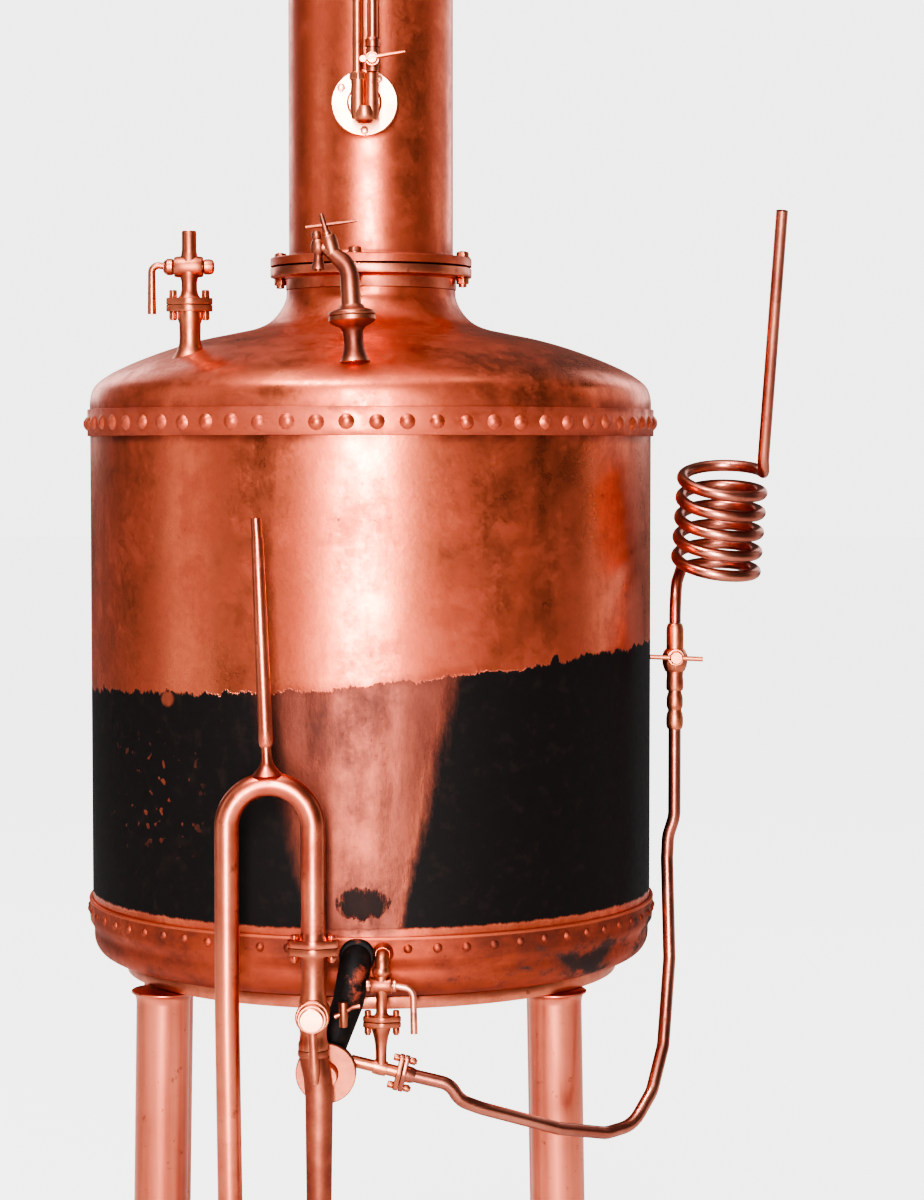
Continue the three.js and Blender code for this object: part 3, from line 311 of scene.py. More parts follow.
# %% Shader sums
class Value:
    """A number that varies over a surface. Sums on it add Math nodes."""

    def __init__(self, finish, socket):
        self.finish = finish
        self.socket = socket

    def _math(self, operation, first, second=0.0):
        return self.finish.node("ShaderNodeMath", {"operation": operation}, {0: first, 1: second})

    def __add__(self, other):
        return self._math("ADD", self, other)

    def __sub__(self, other):
        return self._math("SUBTRACT", self, other)

    def __rsub__(self, other):
        return self._math("SUBTRACT", other, self)

    def __mul__(self, other):
        return self._math("MULTIPLY", self, other)

    def __truediv__(self, other):
        return self._math("DIVIDE", self, other)

    def __pow__(self, other):
        return self._math("POWER", self, other)

    def __abs__(self):
        return self._math("ABSOLUTE", self)

    def larger(self, other):
        return self._math("MAXIMUM", self, other)

    def step(self, low, high):
        """0 below low, 1 above high, and a soft change between."""
        return self.finish.node(
            "ShaderNodeMapRange", {"interpolation_type": "SMOOTHSTEP"},
            {0: self, 1: low, 2: high, 3: 0.0, 4: 1.0},
        )

    __radd__ = __add__
    __rmul__ = __mul__


print("sums on values become nodes")


# %% [markdown]
# ### One method for every node
# A shader tree written by hand is long, and it hides what feeds what. Here each node comes from
# one method: its kind, its settings, then what goes into its sockets. The same class serves the
# materials and the world.

# %% Nodes from one method
class NodeTree:
    """A node tree, emptied, whose nodes all come from one method."""

    def __init__(self, owner):
        owner.use_nodes = True
        self.tree = owner.node_tree
        self.tree.nodes.clear()

    def node(self, kind, settings=None, sockets=None, out=0):
        """Adds a node: its settings first, then its sockets' values or links."""
        made = self.tree.nodes.new(kind)
        for key, value in (settings or {}).items():
            setattr(made, key, value)
        for key, value in (sockets or {}).items():
            if isinstance(value, Value):
                self.tree.links.new(value.socket, made.inputs[key])
            else:
                made.inputs[key].default_value = value
        return Value(self, made.outputs[out]) if len(made.outputs) else made


print("node trees start empty")


# %% [markdown]
# ### A finish
# A finish is one material with one main shader. It adds the noises, mixes and bumps that the
# metals share, and it can lay a second shader over the first, as soot lies on copper.

# %% A finish
class Finish(NodeTree):
    """A material with one shader. Its constants are named as the shader's own sockets."""

    def __init__(self, name, **constants):
        self.material = bpy.data.materials.new(name)
        super().__init__(self.material)
        self.shader = self.new_shader(constants)
        self.output = self.node("ShaderNodeOutputMaterial", {}, {0: self.shader})
        place = self.node("ShaderNodeTexCoord", out="Object")
        self.place = self.node("ShaderNodeMapping", {}, {"Vector": place, "Location": -AXIS})

    def new_shader(self, constants):
        named = {socket.replace("_", " "): value for socket, value in constants.items()}
        return self.node("ShaderNodeBsdfPrincipled", {}, named)

    def noise(self, scale, detail=4.0, stretch=(1, 1, 1), rough=0.55, shift=0.0):
        place = self.node(
            "ShaderNodeMapping", {},
            {"Vector": self.place, "Scale": stretch, "Location": (shift, shift * 0.7, shift * 1.3)},
        )
        return self.node(
            "ShaderNodeTexNoise", {},
            {"Vector": place, "Scale": scale, "Detail": detail, "Roughness": rough},
        )

    def mix(self, amount, first, second):
        return self.node(
            "ShaderNodeMix", {"data_type": "RGBA"}, {0: amount, 6: first, 7: second}, out=2,
        )

    def axes(self):
        split = self.node("ShaderNodeSeparateXYZ", {}, {0: self.place})
        outputs = split.socket.node.outputs
        return [Value(self, outputs[i]) for i in range(3)]

    def bump(self, height, strength, distance, under=None):
        sockets = {"Height": height, "Strength": strength, "Distance": distance}
        if under is not None:
            sockets["Normal"] = under
        return self.node("ShaderNodeBump", {}, sockets)

    def second_shader(self, amount, **constants):
        """Lays another shader over the first, where amount is 1."""
        over = self.new_shader(constants)
        both = self.node("ShaderNodeMixShader", {}, {0: amount, 1: self.shader, 2: over})
        self.tree.links.new(both.socket, self.output.inputs[0])
        return over

    def feed(self, shader=None, **links):
        sockets = (shader or self.shader).socket.node.inputs
        for socket, value in links.items():
            self.tree.links.new(value.socket, sockets[socket.replace("_", " ")])
        return self.material


print("finishes can be written as sums")

# %% [markdown]
# ### Copper sheet
# The sheet is bright where it is wiped, brown where it is not, with darker runs down the wall.
# Mixing three noises at different sizes gives the cloudy change, the runs and the specks, and
# the same noises drive roughness, so a dull patch is also a dull colour. Two bumps follow:
# the slow dishing of hammered sheet and the fine grain of its skin.

# %% Copper sheet
BRIGHT_COPPER = (0.78, 0.200, 0.112, 1)
WARM_COPPER = (0.50, 0.108, 0.060, 1)
BROWN_COPPER = (0.19, 0.042, 0.028, 1)
SOOT = (0.0060, 0.0042, 0.0040, 1)


def copper_coat(finish, dull=0.0, runs=1.0, grain=1.0):
    """Colour, roughness and bump of weathered copper sheet, as values to build on."""
    clouds = finish.noise(4.2, detail=6.0, rough=0.6)
    drips = finish.noise(22.0, detail=6.0, stretch=(1, 1, 0.13), rough=0.62, shift=3.0)
    specks = finish.noise(170.0, detail=3.0, rough=0.7, shift=7.0)
    smears = finish.noise(13.0, detail=9.0, rough=0.75, shift=11.0)
    mottle = finish.noise(46.0, detail=7.0, rough=0.78, shift=15.0)
    age = clouds * 0.40 + drips * (0.28 * runs) + smears * 0.32 + mottle * 0.30 + dull
    age = age.step(0.575, 0.735)
    colour = finish.mix(age, BRIGHT_COPPER, WARM_COPPER)
    stain = (smears * 0.45 + clouds * 0.30 + mottle * 0.25 + dull).step(0.505, 0.645)
    colour = finish.mix(stain * 0.32, colour, BROWN_COPPER)
    pits = specks.step(0.60, 0.72) * mottle.step(0.46, 0.60)
    colour = finish.mix(pits * 0.45, colour, BROWN_COPPER)
    roughness = 0.27 + age * 0.10 + stain * 0.12 + pits * 0.16
    dents = clouds * 0.6 + finish.noise(9.0, detail=2.0, shift=5.0)
    dishing = finish.bump(dents, 0.30 * grain, 0.004)
    skin = finish.bump(specks + mottle * 1.2, 0.14 * grain, 0.0007, under=dishing)
    finish.feed(Metallic=1 - age * 0.14 - stain * 0.20)
    return colour, roughness, skin


def copper_sheet(name, dull=0.0, runs=1.0, seams=()):
    """Copper sheet, darker for a finger's width along each seam height in metres."""
    finish = Finish(name, Metallic=1.0)
    colour, roughness, skin = copper_coat(finish, dull, runs)
    height = finish.axes()[2]
    for seam, reach in seams:
        grime = 1 - abs(height - seam).step(0.0, reach)
        grime = grime * finish.noise(34.0, detail=5.0, stretch=(1, 1, 0.5), shift=2.0).step(0.30, 0.72)
        colour = finish.mix(grime * 0.62, colour, BROWN_COPPER)
        roughness = roughness + grime * 0.16
    return finish.feed(Base_Color=colour, Roughness=roughness, Normal=skin)


lid_copper = copper_sheet("lid_copper", dull=0.03, seams=((1.0125, 0.012), (1.128, 0.012)))
column_copper = copper_sheet("column_copper", dull=0.0, runs=1.3, seams=((1.1640, 0.016),))
strap_copper = copper_sheet("strap_copper", dull=0.08, seams=((0.9855, 0.006), (1.0100, 0.006)))
head_copper = copper_sheet("head_copper", dull=0.02)
print("copper sheet:", lid_copper.name, column_copper.name, strap_copper.name)

# %% [markdown]
# ### The fire's mark on the drum
# The lower drum carries a black, tarry coat up to a ragged tide line that climbs to the right.
# It has been rubbed thin in a wedge down the front, and on the left it has flaked. The coat
# is a mask made of heights and noise, and its own edge goes to a bump, so the coat has
# thickness. The tar is a second shader over the copper, because it reflects far less than metal.

# %% Drum copper with its soot
TIDE = 0.757
TIDE_SLOPE = 0.064
COAT_FOOT = 0.5345


def sooted_drum():
    finish = Finish("sooted_drum_copper", Metallic=1.0)
    colour, roughness, skin = copper_coat(finish, 0.0, 1.1, 1.0)
    x, y, z = finish.axes()
    waves = finish.noise(7.0, detail=3.0, stretch=(1, 1, 0.1), shift=1.5)
    teeth = finish.noise(70.0, detail=6.0, stretch=(1, 1, 0.40), rough=0.75, shift=4.0)
    spikes = finish.noise(31.0, detail=2.0, stretch=(1, 1, 0.03), shift=9.0).step(0.66, 0.74)
    tide = x * TIDE_SLOPE + x.larger(0.0) * 0.045 + TIDE
    tide = tide + (waves - 0.5) * 0.022 + (teeth - 0.5) * 0.026 + spikes * 0.014
    under = (tide - z).step(-0.0003, 0.0016)
    over = (z + (teeth - 0.5) * 0.008).step(COAT_FOOT - 0.001, COAT_FOOT + 0.002)
    half_width = (z - 0.552) * 0.205 + 0.041
    film = finish.noise(15.0, detail=8.0, stretch=(1, 1, 0.30), rough=0.72, shift=6.0)
    ragged = (waves - 0.5) * 0.25 + (teeth - 0.5) * 0.35 + (film - 0.5) * 0.5
    side = (x + 0.004).step(-0.02, 0.02)
    from_middle = abs(x + 0.004) / half_width.larger(0.02) + ragged
    rubbed = 1 - from_middle.step(0.62 + side * 0.18, 1.30 - side * 0.12)
    rubbed = rubbed * y.step(0.05, -0.05) * z.step(0.515, 0.535)
    blotch_place = ((x + 0.001) * 29) ** 2.0 + ((z - 0.559) * 50) ** 2.0
    blotch = 1 - (blotch_place + (teeth - 0.5) * 2.2).step(0.35, 0.75)
    foot = 1 - z.step(0.535, 0.575)
    thin = rubbed * (0.68 - film.step(0.50, 0.72) * (0.28 + foot * 0.35))
    flake_zone = (1 - abs(x + 0.200).step(0.020, 0.060)) * (1 - abs(z - 0.650).step(0.02, 0.065))
    flakes = finish.noise(100.0, detail=1.0, rough=0.5, shift=8.0).step(0.655, 0.71) * flake_zone
    chip_place = ((x + 0.183) * 140) ** 2.0 + ((z - 0.740) * 120) ** 2.0
    chip = (1 - (chip_place + (teeth - 0.5) * 1.6).step(0.4, 1.1)) * y.step(0.0, -0.05)
    coat = (under * over * (1 - thin) * (1 - flakes.larger(chip) * 0.62)).larger(blotch * 0.97)
    stain = under * rubbed
    streaks = finish.noise(34.0, detail=3.0, stretch=(1, 1, 0.03), shift=12.0).step(0.36, 0.68)
    smoked = finish.mix(film.step(0.36, 0.62), (0.25, 0.072, 0.050, 1), (0.105, 0.031, 0.023, 1))
    smoked = finish.mix(streaks * 0.40, smoked, (0.40, 0.120, 0.086, 1))
    colour = finish.mix(stain * 0.86, colour, smoked)
    rim = (1 - abs(tide - z).step(0.0, 0.010)) * rubbed
    colour = finish.mix(rim * 0.45, colour, BROWN_COPPER)
    seam = 1 - abs(z - 0.9838).step(0.0, 0.009)
    seam = seam * finish.noise(30.0, detail=5.0, stretch=(1, 1, 0.5), shift=2.0).step(0.32, 0.62)
    colour = finish.mix(seam * 0.65, colour, BROWN_COPPER)
    crust = finish.noise(80.0, detail=5.0, rough=0.65, shift=10.0)
    soot = finish.mix(crust.step(0.50, 0.72), SOOT, (0.013, 0.0075, 0.0065, 1))
    relief = finish.bump(coat + crust * coat * 0.5, 0.45, 0.0009, under=skin)
    finish.feed(Base_Color=colour, Roughness=roughness + stain * 0.14, Normal=relief)
    tar = finish.second_shader(coat, Specular_IOR_Level=0.16)
    return finish.feed(tar, Base_Color=soot, Roughness=0.50 + crust * 0.22, Normal=relief)


drum_copper = sooted_drum()
print("drum coat from", COAT_FOOT, "to", TIDE, "m, leaning", TIDE_SLOPE)

# %% [markdown]
# ### Pan copper
# The pan sits in the flames, so it is the dullest sheet: brown all over, with a few black
# licks low on its right side.


# %% Pan copper
def pan_finish(name):
    finish = Finish(name)
    colour, roughness, skin = copper_coat(finish, 0.14, 0.6, 1.2)
    x, y, z = finish.axes()
    stain = finish.noise(11.0, detail=7.0, stretch=(1, 1, 1.6), rough=0.7, shift=13.0)
    colour = finish.mix(stain.step(0.38, 0.64) * 0.78, colour, (0.150, 0.046, 0.034, 1))
    lick = (stain + x * 0.55 - abs(z - 0.487) * 5.5).step(0.54, 0.63)
    lick = lick * finish.noise(40.0, detail=4.0, shift=14.0).step(0.32, 0.55)
    colour = finish.mix(lick * 0.92, colour, SOOT)
    edge = 1 - abs(z - 0.5268).step(0.0006, 0.0022)
    colour = finish.mix(edge * 0.5, colour, BRIGHT_COPPER)
    roughness = roughness + stain * 0.22 + lick * 0.2
    return finish.feed(Base_Color=colour, Roughness=roughness, Metallic=1 - lick * 0.85, Normal=skin)


pan_copper = pan_finish("pan_copper")
print("pan finish:", pan_copper.name)

# %% [markdown]
# ### Caked soot
# The outlet stands in the flames, so tar covers it all and copper shows in a few rubbed spots.
# It is made as the drum's coat is: copper below, and tar as the second shader over it.


# %% Caked soot
def caked_soot():
    finish = Finish("caked_outlet", Metallic=1.0)
    colour, roughness, skin = copper_coat(finish, 0.12, 0.6, 1.2)
    crust = finish.noise(70.0, detail=6.0, rough=0.7, shift=10.0)
    rubbed = finish.noise(26.0, detail=6.0, rough=0.68, shift=6.0).step(0.60, 0.72)
    relief = finish.bump(crust - rubbed * 0.6, 0.5, 0.001, under=skin)
    finish.feed(Base_Color=colour, Roughness=roughness + 0.1, Normal=relief)
    tar = finish.second_shader(1 - rubbed * 0.8, Specular_IOR_Level=0.2)
    soot = finish.mix(crust.step(0.48, 0.72), SOOT, (0.020, 0.010, 0.008, 1))
    return finish.feed(tar, Base_Color=soot, Roughness=0.50 + crust * 0.22, Normal=relief)


outlet_copper = caked_soot()
print("outlet finish:", outlet_copper.name)

# %% [markdown]
# ### Drawn copper pipe and gunmetal
# Pipe is smoother than sheet, with long drawing marks. The cocks and flanges are cast
# gunmetal: paler, grainy in the hollows and polished where a hand or a spanner has been. The
# Pointiness of the mesh finds those hollows and edges, so wear goes where it should.


# %% Pipe and gunmetal
def drawn_pipe(name, pale, deep, tone=0.0):
    finish = Finish(name, Metallic=1.0)
    cloud = finish.noise(13.0, detail=5.0)
    skin = finish.noise(180.0, detail=3.0, shift=3.0)
    spots = finish.noise(48.0, detail=5.0, rough=0.7, shift=6.0)
    colour = finish.mix((cloud + tone).step(0.36, 0.70), pale, deep)
    colour = finish.mix(spots.step(0.56, 0.72) * 0.6, colour, BROWN_COPPER)
    roughness = 0.26 + cloud * 0.12 + spots.step(0.5, 0.75) * 0.18
    return finish.feed(
        Base_Color=colour, Roughness=roughness, Normal=finish.bump(skin + spots, 0.14, 0.0005),
    )


def gunmetal(name, pale, deep, rough=0.30, worn=1.0):
    finish = Finish(name, Metallic=1.0)
    cloud = finish.noise(24.0, detail=6.0, rough=0.65)
    grain = finish.noise(320.0, detail=2.0, shift=2.0)
    pocks = finish.noise(90.0, detail=3.0, shift=5.0)
    shape = finish.node("ShaderNodeNewGeometry", out="Pointiness")
    hollow = 1 - shape.step(0.42, 0.495)
    ridge = shape.step(0.515, 0.60) * worn
    colour = finish.mix(cloud.step(0.34, 0.68), pale, deep)
    colour = finish.mix(hollow * 0.7, colour, BROWN_COPPER)
    colour = finish.mix(ridge * 0.4, colour, (0.80, 0.30, 0.18, 1))
    colour = finish.mix(pocks.step(0.64, 0.74) * 0.5, colour, BROWN_COPPER)
    roughness = rough + cloud * 0.16 + hollow * 0.22 - ridge * 0.08
    relief = finish.bump(grain * 0.6 + pocks, 0.22, 0.0006)
    return finish.feed(Base_Color=colour, Roughness=roughness, Normal=relief)


pipe_copper = drawn_pipe("pipe_copper", (0.74, 0.225, 0.140, 1), (0.47, 0.115, 0.074, 1))
gauge_copper = drawn_pipe("gauge_copper", (0.54, 0.205, 0.145, 1), (0.34, 0.110, 0.078, 1), tone=0.04)
cock_metal = gunmetal("cock_gunmetal", (0.58, 0.190, 0.112, 1), (0.36, 0.098, 0.060, 1), rough=0.34)
bright_metal = gunmetal("bright_gunmetal", (0.86, 0.40, 0.28, 1), (0.72, 0.28, 0.19, 1), rough=0.33)
dark_metal = gunmetal("dark_gunmetal", (0.34, 0.105, 0.068, 1), (0.18, 0.052, 0.036, 1), rough=0.38)
drain_metal = gunmetal(
    "drain_gunmetal", (0.44, 0.135, 0.084, 1), (0.27, 0.076, 0.050, 1), rough=0.44, worn=0.6,
)
flange_metal = gunmetal("flange_gunmetal", (0.70, 0.225, 0.140, 1), (0.50, 0.135, 0.085, 1), rough=0.30)
print("pipe and gunmetal are ready")

# %% [markdown]
# ### Leg tube, iron and gasket
# The legs are drawn tube with long vertical streaks of oxide. The feet are oiled iron, and
# the gaskets are dark woven packing.


# %% Leg tube, iron and gasket
def leg_tube():
    finish = Finish("leg_tube", Metallic=1.0)
    streaks = finish.noise(60.0, detail=5.0, stretch=(1, 1, 0.035))
    cloud = finish.noise(5.0, detail=5.0, shift=3.0)
    spots = finish.noise(85.0, detail=4.0, rough=0.7, shift=6.0)
    oxide = (streaks * 0.5 + cloud * 0.6).step(0.42, 0.72)
    colour = finish.mix(oxide, (0.74, 0.230, 0.150, 1), (0.50, 0.130, 0.085, 1))
    colour = finish.mix(spots.step(0.60, 0.72) * 0.5, colour, BROWN_COPPER)
    roughness = 0.22 + streaks * 0.12 + cloud * 0.10
    skin = finish.bump(streaks + spots * 0.5, 0.12, 0.0006)
    return finish.feed(Base_Color=colour, Roughness=roughness, Normal=skin)


def oiled_iron():
    finish = Finish("oiled_iron", Metallic=0.85)
    crust = finish.noise(120.0, detail=5.0, rough=0.65)
    rust = finish.noise(22.0, detail=6.0, rough=0.7, shift=4.0).step(0.50, 0.72)
    colour = finish.mix(rust * 0.8, (0.075, 0.045, 0.038, 1), (0.20, 0.058, 0.030, 1))
    return finish.feed(
        Base_Color=colour, Roughness=0.45 + crust * 0.25 + rust * 0.15,
        Normal=finish.bump(crust, 0.35, 0.001),
    )


def packing():
    finish = Finish("gasket_packing")
    weave = finish.noise(400.0, detail=2.0, stretch=(1, 1, 3))
    colour = finish.mix(weave, (0.020, 0.013, 0.010, 1), (0.060, 0.036, 0.028, 1))
    return finish.feed(
        Base_Color=colour, Roughness=0.75 + weave * 0.2, Normal=finish.bump(weave, 0.4, 0.0006),
    )


leg_metal = leg_tube()
foot_iron = oiled_iron()
gasket = packing()
print("finishes made:", len(bpy.data.materials))

# %% [markdown]
# ## From bench to frame
# A finished piece is one mesh at the origin. It is smooth except across real edges, it stands
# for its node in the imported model, and it rides on that node's body.

# %% Finishing a piece
made = []


def finish_piece(name, bench, material, slot, *nodes, body="still", angle=32):
    mesh = bpy.data.meshes.new(name)
    bench.whole.to_mesh(mesh)
    bench.whole.free()
    mesh.materials.append(material)
    mesh.polygons.foreach_set("use_smooth", [True] * len(mesh.polygons))
    mesh.set_sharp_from_angle(angle=math.radians(angle))
    piece = bpy.data.objects.new(name, mesh)
    bpy.context.scene.collection.objects.link(piece)
    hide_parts(*nodes)
    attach(piece, body)
    made.append(piece)
    print(name, "has", len(mesh.polygons), "faces")
    return piece


# %% [markdown]
# ## The pot
# The drum is a plain rolled sheet with its seam hidden behind, so one closed profile, spun
# round the pot's axis in many steps, is enough. The lid, the strap and the pan that close it
# follow in cells of their own.

# %% Drum
drum = Bench().turned([(275.5, 509), (278.5, 509), (278.5, 996.5), (275.5, 996.5)], steps=192)
finish_piece("copper_drum", drum, drum_copper, "copper", "pot_drum")

# %% [markdown]
# ### The lid
# The lid was raised from one sheet: a short upright rim, a broad shoulder and a trumpet neck. A
# spun curve through measured radii keeps the change from shoulder to neck smooth, and
# `solidify` then gives the sheet its thickness inwards, so that the size stays right.

# %% Lid
LID_CURVE = [
    (278.5, 997.2), (278.6, 1008), (278.4, 1020), (274.5, 1032.5), (262.5, 1043), (241.5, 1054),
    (217, 1064), (192.5, 1072.5), (167.5, 1079.5), (136.5, 1086), (113, 1091.5), (99.5, 1098.5),
    (89.5, 1110), (84.6, 1121), (83.8, 1129),
]


def shell(bench, curve, thick, steps=192):
    """Spins an open profile and gives it an inner wall."""
    part = bmesh.new()
    points = [part.verts.new((r / 1000, 0, z / 1000)) for r, z in curve]
    edges = [part.edges.new(pair) for pair in zip(points, points[1:])]
    bmesh.ops.spin(
        part, geom=points + edges, cent=(0, 0, 0), axis=(0, 0, 1), angle=math.tau,
        steps=steps, use_merge=True, use_duplicate=False,
    )
    bmesh.ops.remove_doubles(part, verts=part.verts, dist=1e-6)
    bmesh.ops.recalc_face_normals(part, faces=part.faces)
    outward = sum(f.normal.dot(f.calc_center_median() * Vector((1, 1, 0))) for f in part.faces)
    if outward < 0:
        bmesh.ops.reverse_faces(part, faces=part.faces)
    bmesh.ops.solidify(part, geom=part.faces[:], thickness=thick / 1000)
    return bench.keep(part, Matrix.Translation(AXIS))


lid = shell(Bench(), eased(LID_CURVE, 5), 3)
finish_piece("raised_lid", lid, lid_copper, "copper", "lid_dome", angle=50)

# %% [markdown]
# ## Riveted seams
# A strap covers the joint of lid and drum, and its rivets were closed by hand, so their
# heads are low cones with rounded tops that differ a little in size and lean. Each has only a
# few dozen faces. The pan's own edge laps the drum lower down, with smaller rivets.


# %% Rivet heads
RIVETS = 64


def rivet_row(bench, radius, height, ring, z, seed, skip=None):
    dice = random.Random(seed)
    shape = [(0, 1.0), (0.30, 0.95), (0.56, 0.74), (0.80, 0.40), (1.0, 0.04), (1.03, -0.25), (0, -0.25)]
    for i in range(RIVETS):
        angle = (i + 0.5) * math.tau / RIVETS
        out = Vector((math.cos(angle), math.sin(angle), 0))
        if skip and skip(out):
            continue
        size = radius * dice.uniform(0.94, 1.05)
        rise = height * dice.uniform(0.88, 1.06)
        lean = Vector((0, 0, dice.uniform(-0.06, 0.06))) + out
        spot = at(0, 0, z + dice.uniform(-0.6, 0.6)) + out * ring / 1000
        bench.turned([(r * size, h * rise) for r, h in shape], spot, lean, steps=12)
    return bench


print("rivets in each ring:", RIVETS)


# %% [markdown]
# ### The seam strap
# The strap is a flat hoop, slightly proud of both sheets, with eased edges that catch a thin
# line of light. One row of rivets runs round its middle.

# %% Seam strap
strap = Bench().turned(
    [(279.0, 984.6), (281.2, 984.6), (281.2, 1010.8), (279.0, 1010.8)], steps=192, ease=0.7,
)
rivet_row(strap, 7.6, 4.3, 280.7, 997, seed=4)
finish_piece("seam_strap_riveted", strap, strap_copper, "copper", "seam_strap")

# %% [markdown]
# ### The pan
# The pan was dished from one sheet and lapped up over the drum's foot. Its open curve is spun
# and thickened as the lid is. A rolled lip finishes the edge, and the small rivets stop where
# the outlet's collar sits.

# %% Pan with its lap
PAN_CURVE = [
    (281.4, 528), (281.5, 520), (281.5, 510), (281.2, 506), (278.4, 501.5), (277.1, 497), (277, 489),
    (275.4, 483), (271, 476.5), (263, 471.5), (253, 468.8), (240, 467.6), (150, 466.4), (40, 466), (4, 466),
]
pan = shell(Bench(), PAN_CURVE[:5] + eased(PAN_CURVE[5:], 4), 2.4)
pan.turned([(279.1, 525.4), (282.1, 525.4), (282.3, 527), (281.9, 528), (279.1, 528)], steps=192)
rivet_row(
    pan, 4.4, 2.7, 281.4, 517, seed=9,
    skip=lambda out: out.y < 0 and abs(out.x * 281 - 5.5) < 27,
)
finish_piece("fired_pan", pan, pan_copper, "sooted_copper", "pot_pan", angle=50)

# %% [markdown]
# ### The seat ring
# A plain turned ring under the pan spreads the pot's weight on to the legs. A square section
# with eased corners is all that shows, so it is spun in one piece.

# %% Base ring
ring = Bench().turned([(222, 455), (245, 455), (245, 467), (222, 466.4)], steps=160, ease=1.2)
finish_piece("seat_ring", ring, flange_metal, "bronze", "base_ring")

# %% [markdown]
# ## Neck, column and head
# The flanges were cast and turned, so their rims are square with eased corners. The column is
# a rolled tube, and the head a raised dome.

# %% Neck flange and bolts
neck = Bench().turned(
    [(77.5, 1116), (80.5, 1116), (80.5, 1129.3), (84.6, 1129.3), (84.6, 1140), (86.5, 1142), (100, 1142),
     (100, 1150.9), (77.5, 1150.9)], steps=128, ease=0.8,
)
finish_piece("neck_flange_lower", neck, flange_metal, "bronze", "neck_flange")


BOLT_START = math.radians(-8)
BOLT_CIRCLE = 92


def hex_bolt(bench, x, y, low, high, tip=0, turn=0.0):
    """A bolt through two flanges: domed hexagon head above, nut and thread end below."""
    shank, head, height = 4, 6.6, 6.5
    across = Vector((math.cos(turn), math.sin(turn), 0))
    bench.rod(at(x, y, low - height - tip), at(x, y, high + 1), shank, sides=20, ease=0.4)
    bench.rod(
        at(x, y, high), at(x, y, high + height * 0.86), head, head * 0.97, sides=6, ease=0.7,
        across=across,
    )
    bench.turned(
        [(0, 1.3), (head * 0.5, 0.9), (head * 0.8, 0), (0, 0)], at(x, y, high + height * 0.82),
        steps=24,
    )
    bench.rod(at(x, y, low - height), at(x, y, low), head, sides=6, ease=0.7, across=across)
    bench.turned([(0, 0), (head * 1.12, 0), (head * 1.12, 0.8), (0, 0.8)], at(x, y, high - 0.25), steps=24)
    return bench


for i in range(4):
    turn = BOLT_START + i * math.pi / 2
    x, y = BOLT_CIRCLE * math.cos(turn), BOLT_CIRCLE * math.sin(turn)
    bolt = hex_bolt(Bench(), x, y, 1141.7, 1161.3, tip=3, turn=turn + 0.4)
    finish_piece(f"flange_bolt_{i + 1}", bolt, cock_metal, "brass", f"neck_bolt_{i + 1}")

# %% [markdown]
# ### The column
# The column is rolled tube with a flange at each end, and everything in it is round, so one
# closed profile is spun. A small fillet at each flange stands for the brazed joint.

# %% Column
column = Bench().turned(
    [(78.5, 1152.7), (100, 1152.7), (100, 1160), (99, 1161), (84, 1161), (81.9, 1163), (81.5, 1166),
     (81.5, 1527), (82, 1530), (84, 1531), (100, 1531), (100, 1540), (78.5, 1540)], steps=144,
)
finish_piece("column_tube", column, column_copper, "copper", "column_shell", angle=40)

# %% [markdown]
# ### The head
# The head closes the column with a raised dome on a bolted flange. The dome is an open curve,
# spun and thickened. Its four bolts are part of it, because nothing loosens them here.

# %% Head
HEAD = 1541.8
head = Bench().turned(
    [(78.5, HEAD), (100, HEAD), (100, HEAD + 9), (80, HEAD + 9), (78.5, HEAD + 6)], steps=128,
    ease=0.7,
)
shell(head, eased([(81.5, HEAD + 8), (80.5, HEAD + 18), (76, HEAD + 34), (64, HEAD + 49), (48, HEAD + 58),
                   (38, HEAD + 64), (34.5, HEAD + 71)], 6), 3, steps=128)
head.turned([(28, HEAD + 70), (42, HEAD + 70), (42, HEAD + 77), (28, HEAD + 77)], steps=72, ease=0.7)
for i in range(4):
    turn = BOLT_START + i * math.pi / 2
    x, y = BOLT_CIRCLE * math.cos(turn), BOLT_CIRCLE * math.sin(turn)
    hex_bolt(head, x, y, 1530.7, HEAD + 9, turn=turn)
finish_piece("column_head", head, head_copper, "copper", "head_dome", angle=40)

# %% [markdown]
# ### The swan neck
# Vapour leaves by this wide bent pipe. It is drawn along a rounded route and left open at its
# end. Each end carries a turned flange, ready for the next pipe.

# %% Swan neck
swan_foot = HEAD + 77.3
swan_corners = [
    at(0, 0, swan_foot), at(0, 0, swan_foot + 104), at(170, 0, swan_foot + 104),
    at(236, 0, swan_foot + 52),
]
swan_route = bends(swan_corners, 82, steps=14)
swan = Bench().pipe(swan_route, 26.9, sides=56, mouths=("end",), wall=2.6, depth=60)
swan_way = (swan_corners[3] - swan_corners[2]).normalized()
swan.turned([(26.8, -6), (42, -6), (42, 0), (26.8, 0)], swan_corners[3], swan_way, steps=72, ease=0.7)
swan.turned([(26.8, 0), (42, 0), (42, 6), (26.8, 6)], swan_corners[0], UP, steps=72, ease=0.7)
finish_piece("swan_neck_pipe", swan, head_copper, "copper", "swan_neck")

# %% [markdown]
# ## Legs and feet
# Each leg is a drawn tube with a welded collar under the seat ring, and it leans out by one
# degree. It stands in an iron shoe.

